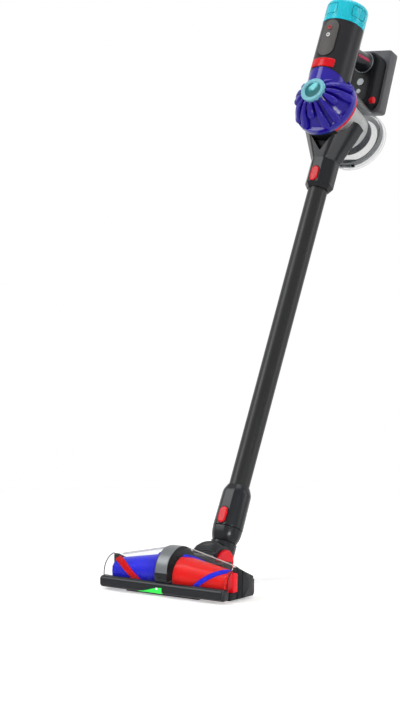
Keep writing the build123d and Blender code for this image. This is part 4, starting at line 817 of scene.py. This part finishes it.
@dataclass
class SwivelNeck:
    """Ribbed drum between two red yoke discs."""

    yoke_radius: float = 22.3
    drum_radius: float = 28.4
    crown: float = 35.5
    half_width: float = 24.8

    def dome(self) -> Skin:
        """Barrel over the drum: at each X the radius 35.5 sqrt(1 - (X / 40)^2), eased into the drum
        towards the front, with shallow ribs 0.5 cos of the turn across the front."""
        x = np.linspace(-self.half_width, self.half_width, 48)[:, None]
        turn = np.linspace(8, 152, 180)
        rise = np.maximum(self.crown * np.sqrt(1 - (x / 40) ** 2) - self.drum_radius, 0)
        ribs = 0.5 * np.cos(np.radians(turn * 52)) * smooth((turn - 88) / 6)
        r = self.drum_radius + rise * smooth((152 - turn) / 60) + ribs
        r = np.concatenate([r, 20 + 0 * r[:, ::-1]], 1)
        a = np.radians(np.r_[turn, turn[::-1]])
        return Skin().grid(PIVOT.place(polar(r, a, x)), caps="se")

    def build(self) -> None:
        """Makes and fits the neck's pieces."""
        self.dome().fit("neck_dome", [CHARCOAL], "neck", "charcoal")
        r = self.yoke_radius
        disc = [(POLE, 30), (r, 30, 0.2), (r, 31.2, 0.5), (r - 2.6, 31.6, 0.4), (r - 3.4, 31.0, 0.4), (POLE, 31.4)]
        for side, name in SIDES:
            turned(PIVOT, [(reach, side * x, *soft) for reach, x, *soft in disc]).fit(
                "yoke_cap_" + name, [RED], "floor_head", "red")
        dress(neck_drum=CHARCOAL, pivot_pin=STEEL, yoke_left=RED, yoke_right=RED)


@dataclass
class FloorHead:
    """Head base with its bar, arch, clear covers, rails, end housings and rollers."""

    body: str = "floor_head"
    hood_near: tuple = (-58.5, 37.36, 42.5)
    hood_step: tuple = (-2.5, -10.96, -12.0)
    hood_start: float = 12.5
    hood_length: float = 107.5
    end_near: float = 119.9
    end_far: float = 129.9
    arch_radius: float = 44.0
    foot_turn: float = 186.4

    def rail(self, side: int) -> Skin:
        """Strip along the cover: a flat rounded section at an angle behind the top, carried along
        the cover's straight line from the arch to the end housing. Centre and radius of the cover
        change evenly with the distance from the middle."""
        x = np.linspace(13.5, 119.5, 24)[:, None]
        t = (x - self.hood_start) / self.hood_length
        y, z, r = (near + step * t for near, step in zip(self.hood_near, self.hood_step))
        across, up = soft_profile([(-3, -0.6, 0.3), (3, -0.6, 0.3), (3, 1.0, 0.6), (-3, 1.0, 0.6)], True).T
        angle = math.radians(66) + across / r
        reach = r + up
        p = np.stack([side * x + 0 * angle, y + reach * np.cos(angle), z + reach * np.sin(angle)], -1)
        return Skin().grid(p, caps="se")

    def slab(self, corners: list, side: int, near: float, far: float, edge: float) -> np.ndarray:
        """End block: an outline in y and z from one X to another, its outer edge rounded.

        Args:
            corners: outline, rows of y, z and round.
            side: 1 or -1 along X.
            near: inner X.
            far: outer X.
            edge: size of the rounded edge.

        Returns:
            Grid of outlines.
        """
        line = soft_profile(corners, True)
        along = np.roll(line, -1, 0) - np.roll(line, 1, 0)
        out = unit(np.stack([along[:, 1], -along[:, 0]], -1))
        out *= np.sign(np.sum(out * (line - line.mean(0))))
        rings = [(near, 0), (far - edge, 0), (far - 0.3 * edge, 0.3 * edge), (far, edge)]
        return np.stack([np.c_[np.full(len(line), side * x), line - out * d] for x, d in rings])

    def end_ring(self, side: int, section: np.ndarray) -> Skin:
        """Section (X, radius) carried round the cover's outer end, from the bar to the top."""
        turn = np.radians(np.linspace(188, 94, 40))[:, None]
        x, r = section.T
        return Skin().grid(END.place(polar(r, turn, side * x)), caps="se")

    def window(self) -> Skin:
        """Light window: a wedge on the bar's front lower round, its top edge rising to the right."""
        left, low, bar_y, bar_z, bar_radius = -46.0, 4.8, -98.0, 11.0, 7.0
        x = np.linspace(left, 4, 40)[:, None]
        top = 6.2 + 9.0 * smooth((x - left) / 48)
        z = low + (top - low) * np.linspace(0, 1, 12)
        y = bar_y - np.sqrt(bar_radius**2 - np.minimum(z - bar_z, 0) ** 2)
        outer = np.stack([x + 0 * z, y - 0.35, z], -1)
        inner = np.stack([x + 0 * z, y + 1.2, z], -1)[:, ::-1]
        return Skin().grid(np.concatenate([outer, inner], 1), caps="se")

    def ends(self, side: int, name: str) -> None:
        """Makes and fits one end: red bearing block, dark wall, proud rear block and clear end."""
        front, top, inner = (-76.5, 50.5, 119.6) if side > 0 else (-66.0, 36.0, 124.5)
        near, far = self.end_near, self.end_far
        red = [(front, 16, 1), (front, top, 1.2), (-63.2, top - 3.5, 1), (-63.2, 16, 1)]
        skirt = [(-84, 3.2, 0.5), (-84, 15.4, 0.5), (-63, 15.4, 0.5), (-63, 3.2, 0.5)]
        wall = [(-63, 3.2, 0.5), (-63, 56.2, 1), (-60, 56.2, 1), (-15, 35.8, 2), (-15, 3.2, 1)]
        block = [(-48, 4, 0.5), (-48, 50.4, 1.5), (-20, 38.2, 1.5), (-16.5, 36.5, 0.8), (-16.5, 31.5, 0.5),
                 (-13.5, 31.5, 0.8), (-13.5, 8, 2), (-17, 4, 1)]
        skin = Skin().grid(self.slab(wall, side, near, 128.6, 0.8), caps="se", mark=1)
        skin.grid(self.slab(skirt, side, near, 128.0, 0.8), caps="se", mark=1)
        skin.grid(self.slab(block, side, 122, far, 1.5), caps="se")
        skin.fit("end_block_" + name, [CHARCOAL, DARK], self.body, "charcoal", "end_housing_" + name)
        Skin().grid(self.slab(red, side, inner, far, 1.2), caps="se").fit(
            "end_bearing_" + name, [RED], self.body, "red", "end_cap_" + name)
        shell = soft_profile([(near, 30.5), (128.8, 30.5, 1.2), (128.8, 9), (127.4, 9), (127.4, 28.9, 0.6),
                              (near, 28.9)], True)
        self.end_ring(side, shell).fit("end_clear_" + name, [COVER], self.body, "clear")
        rod = polar(0.8, circle(12), 0)[:, :2] + (128.0, 30.6)
        self.end_ring(side, rod).fit("end_hoop_" + name, [DARK], self.body, "charcoal")

    def arch(self) -> None:
        """Makes and fits what lies on the arch: its dark foot with a screw, and two dark cheeks on its sides that are
        painted shade between the arch and the cones.
        """
        reach = self.arch_radius
        foot = [(0, -1.5), (0, 0.2), (0.4, 0.4)]
        Skin().grid(pad(ARCH.facing(self.foot_turn, reach, 0), (8.1, 12.7), 1.5, foot, reach, 96)).fit(
            "arch_foot", [CHARCOAL], self.body, "charcoal")
        screw = [(0, -1), (0, 0.4), (0.5, 0.4), (0.6, 0.1)]
        Skin().grid(pad(ARCH.facing(self.foot_turn, reach + 0.3, -3), (1.7, 1.7), 1.7, screw, reach, 32)).fit(
            "arch_screw", [BLACK], self.body, "charcoal")
        # Cheeks: dark discs laid on the arch's sides, painted shade where the silver arch meets the cones.
        turn = np.radians(np.linspace(-20, 196, 80))[:, None]
        x, r = np.array([(12.3, 18), (12.8, 18), (12.8, 43.3), (12.3, 43.6)]).T
        skin = Skin()
        for side, _ in SIDES:
            skin.grid(ARCH.place(polar(r, turn, side * x)), caps="se")
        skin.fit("arch_painted_shade", [DARK], self.body, "charcoal")

    def build(self) -> None:
        """Makes and fits the head's pieces."""
        dress(front_bar=CHARCOAL, bay_lid=CHARCOAL, head_base=DARK, sole_strip=DARK, brush_motor=DARK)
        dress(drive_arch=SILVER, cover_left=COVER, cover_right=COVER, head_screws=STEEL, motor_pulley=STEEL)
        dress(drive_hub=NYLON, drive_belt=BLACK, wheel_left=BLACK, wheel_right=BLACK)
        self.window().fit("light_window", [LENS], self.body, "lens", "light_lens")
        spot = Axes((-6.4, -105.2, 13.2), X, (0, 0, 1), (0, -1, 0))
        core = pad(spot, (2.2, 1.6), 1.6, [(0, -0.5), (0, 0.4), (0.4, 0.7)], 0, 40)
        Skin().grid(core).fit("light_core", [LED], self.body, "lens")
        for side, name in SIDES:
            # The rails differ by side only as painted light: pale grey on the right, see-through on the left.
            self.rail(side).fit("cover_rail_" + name, [PALE if side > 0 else LEFT_RAIL_PAINTED_LIGHT], self.body, "silver")
            self.ends(side, name)
        self.arch()


@dataclass
class BrushCones:
    """Two tapered rollers with wound pile strips."""

    length: float = 101.9
    inner: float = 31.4
    outer: float = 22.8
    rows: int = 260
    clip: float = 2.5
    ruffle: float = 0.16

    def cone(self, side: int) -> Skin:
        """Cone turned about its own axis, with rounded ends."""
        ends = soft_profile([(POLE, 0), (self.inner, 0, 2), (self.outer, self.length, 2), (POLE, self.length)])
        half = len(ends) // 2
        t = np.linspace(0, 1, 30)[1:-1, None]
        line = np.concatenate([ends[:half], ends[half - 1] * (1 - t) + ends[half] * t, ends[half:]])
        return Skin().grid(lathe(cone_axes(side), line, 128), caps="se")

    def strip(self, side: int, start: float, half: float) -> Skin:
        """Pile strip: a domed section carried along the cone's surface while it winds half a turn,
        its crown roughened by seeded noise as clipped pile is."""
        share = np.linspace(0.03, 0.97, self.rows)[:, None]
        section = soft_profile([(-half, -1.0, 0.2), (half, -1.0, 0.2), (half, 1.6, 0.8), (half - 2, 2.4, 1),
                                (2 - half, 2.4, 1), (-half, 1.6, 0.8)], True)
        noise = np.random.default_rng(7 + side).normal(0, self.ruffle, (self.rows, len(section)))
        noise *= section[:, 1] > 0.5
        angle = np.radians(start - 180 * share) * side
        across, up = section[:, 0] + noise * 0.6, section[:, 1] + noise
        reach = self.inner + (self.outer - self.inner) * share + np.minimum(up, self.clip)
        c, s = np.cos(angle), np.sin(angle)
        p = [reach * c - across * s * side, reach * s + across * c * side, self.length * share + 0 * across]
        return Skin().grid(cone_axes(side).place(np.stack(p, -1)), caps="se")

    def build(self) -> None:
        """Makes and fits the cones and their strips."""
        for side, name, slot, cone, half, piles in (
            (1, "right", "red", RED_CONE, 5.2, (BLUE_PILE, BLUE_PILE)),
            (-1, "left", "blue", BLUE_CONE, 7.2, (RED_PILE, BLUE_PILE)),
        ):
            body = "cone_" + name
            self.cone(side).fit("roller_" + name, [cone], body, slot, "brush_cone_" + name)
            for k, (start, pile) in enumerate(zip((280, 460), piles)):
                nodes = [] if k else ["brush_strips_" + name]
                self.strip(side, start, half).fit(f"pile_{name}_{k + 1}", [pile], body, pile.name, *nodes)


@dataclass
class Studio:
    """Camera at the photograph's angle, soft lamps, white surroundings and a pale floor."""

    spot: tuple = (2.16673, -3.0088, 0.67149)
    yaw: float = 35.66
    pitch: float = 4.086
    lens: float = 112.6
    sensor: float = 36.0
    world_light: float = 0.3
    floor_level: float = -0.4
    floor_radius: float = 9000.0
    floor_fade: tuple = (0.35, 1.3)
    floor_lift: float = 0.4

    def put(self, item: bpy.types.Object, place: tuple, ahead: Vector) -> None:
        """Stands a camera or lamp at a place, looking along a direction."""
        item.location = place
        item.rotation_mode = "QUATERNION"
        item.rotation_quaternion = ahead.to_track_quat("-Z", "Y")
        bpy.context.scene.collection.objects.link(item)

    def camera(self) -> None:
        """Camera that looks along (-sin yaw cos pitch, cos yaw cos pitch, -sin pitch)."""
        data = bpy.data.cameras.new("camera")
        data.lens, data.sensor_width, data.clip_end = self.lens, self.sensor, 100.0
        cam = bpy.data.objects.new("camera", data)
        yaw, pitch = math.radians(self.yaw), math.radians(self.pitch)
        level = math.cos(pitch)
        self.put(cam, self.spot, Vector((-math.sin(yaw) * level, math.cos(yaw) * level, -math.sin(pitch))))
        bpy.context.scene.camera = cam

    def lamp(self, name: str, place: tuple, aim: tuple, size: tuple, power: float, spread: float = 180.0) -> None:
        """Soft rectangular lamp.

        Args:
            name: lamp name.
            place: its middle, metres.
            aim: point that it faces.
            size: width and height.
            power: watts.
            spread: angle of its beam, degrees.
        """
        data = bpy.data.lights.new(name, "AREA")
        data.shape, data.size, data.size_y, data.energy = "RECTANGLE", *size, power
        data.spread = math.radians(spread)
        self.put(bpy.data.objects.new(name, data), place, Vector(aim) - Vector(place))

    def seen(self, tree: bpy.types.NodeTree) -> bpy.types.NodeSocket:
        """1 for what the eye, gloss and glass see, else 0: the larger of three Light Path values.

        Args:
            tree: node tree that gets the nodes.

        Returns:
            The value's socket.
        """
        path = add(tree, "LightPath")
        value = path.outputs["Is Camera Ray"]
        for ray in ("Is Transmission Ray", "Is Glossy Ray"):
            most = add(tree, "Math")
            most.operation = "MAXIMUM"
            join(tree, (value, most, 0), (path.outputs[ray], most, 1))
            value = most.outputs["Value"]
        return value

    def surroundings(self) -> None:
        """White world for what the eye, gloss and glass see, dimmer for the light it sheds."""
        world = bpy.data.worlds.new("studio")
        bpy.context.scene.world = world
        world.use_nodes = True
        tree = world.node_tree
        ground = tree.nodes["Background"]
        ground.inputs["Color"].default_value = (1, 1, 1, 1)
        level = add(tree, "MapRange", To_Min=self.world_light, To_Max=1.0)
        join(tree, (self.seen(tree), level, "Value"), (level.outputs["Result"], ground, "Strength"))

    def floor(self) -> None:
        """Pale round floor: plain paint near the object, where its shadow falls, and white to the
        eye further out, eased over the distance from the middle."""
        edge = np.array([(10.0, self.floor_level), (self.floor_radius, self.floor_level)])
        paint = Finish("pale_floor", "f4f4f3", 0.85, scale=60, vary=0.02, bump=0.0)
        piece = Skin().grid(lathe(WORLD, edge, 64), caps="s").build("floor", [paint])
        if piece.data.polygons[0].normal.z < 0:
            piece.data.flip_normals()
        tree = paint.material().node_tree
        coord, far, share, part, white, lift, lit, mix = (add(tree, kind) for kind in (
            "TexCoord", "VectorMath", "Math", "Math", "Emission", "Emission", "AddShader", "MixShader"))
        ease = add(tree, "MapRange", From_Min=self.floor_fade[0], From_Max=self.floor_fade[1])
        far.operation, ease.interpolation_type = "LENGTH", "SMOOTHSTEP"
        share.operation = part.operation = "MULTIPLY"
        part.inputs[1].default_value = self.floor_lift
        seen, paint_out = self.seen(tree), tree.nodes["Principled BSDF"].outputs["BSDF"]
        join(tree, (coord.outputs["Object"], far, 0), (far.outputs["Value"], ease, "Value"),
             (ease.outputs["Result"], share, 0), (seen, share, 1), (share.outputs["Value"], mix, "Fac"),
             (seen, part, 0), (part.outputs["Value"], lift, "Strength"), (paint_out, lit, 0),
             (lift.outputs["Emission"], lit, 1), (lit.outputs["Shader"], mix, 1), (white.outputs["Emission"], mix, 2),
             (mix.outputs["Shader"], tree.nodes["Material Output"], "Surface"))

    def build(self) -> None:
        """Sets up the whole studio."""
        self.camera()
        self.surroundings()
        self.floor()
        self.lamp("key", (-1.8, -1.7, 2.6), (0, 0.3, 0.6), (1.2, 2.2), 48)
        self.lamp("rim", (2.6, 1.5, 1.2), (0, 0.3, 0.6), (0.9, 2.2), 15)
        self.lamp("low", (1.6, -1.0, 0.3), (0, -0.06, 0.03), (0.5, 0.4), 0.7, 30.0)
        self.lamp("side", (1.7, -0.7, 0.75), (0, 0.45, 0.8), (0.9, 0.9), 0.45, 20.0)
        self.lamp("top", (0.3, 0.6, 3.2), (0, 0.3, 0.4), (1.8, 1.8), 28)
        bpy.context.scene.view_settings.view_transform = "Standard"


def main() -> None:
    """Builds the studio and the sub-assemblies in order."""
    logging.basicConfig(level=logging.INFO, format="%(message)s")
    for part in (Studio(), RearFilter(), MotorBody(), CyclonePack(), DustBin(), HandleAndBattery(), Wand(),
                 SwivelNeck(), FloorHead(), BrushCones()):
        part.build()
        LOG.info("%s done", type(part).__name__)
    bpy.context.view_layer.update()


if __name__ == "__main__":
    main()
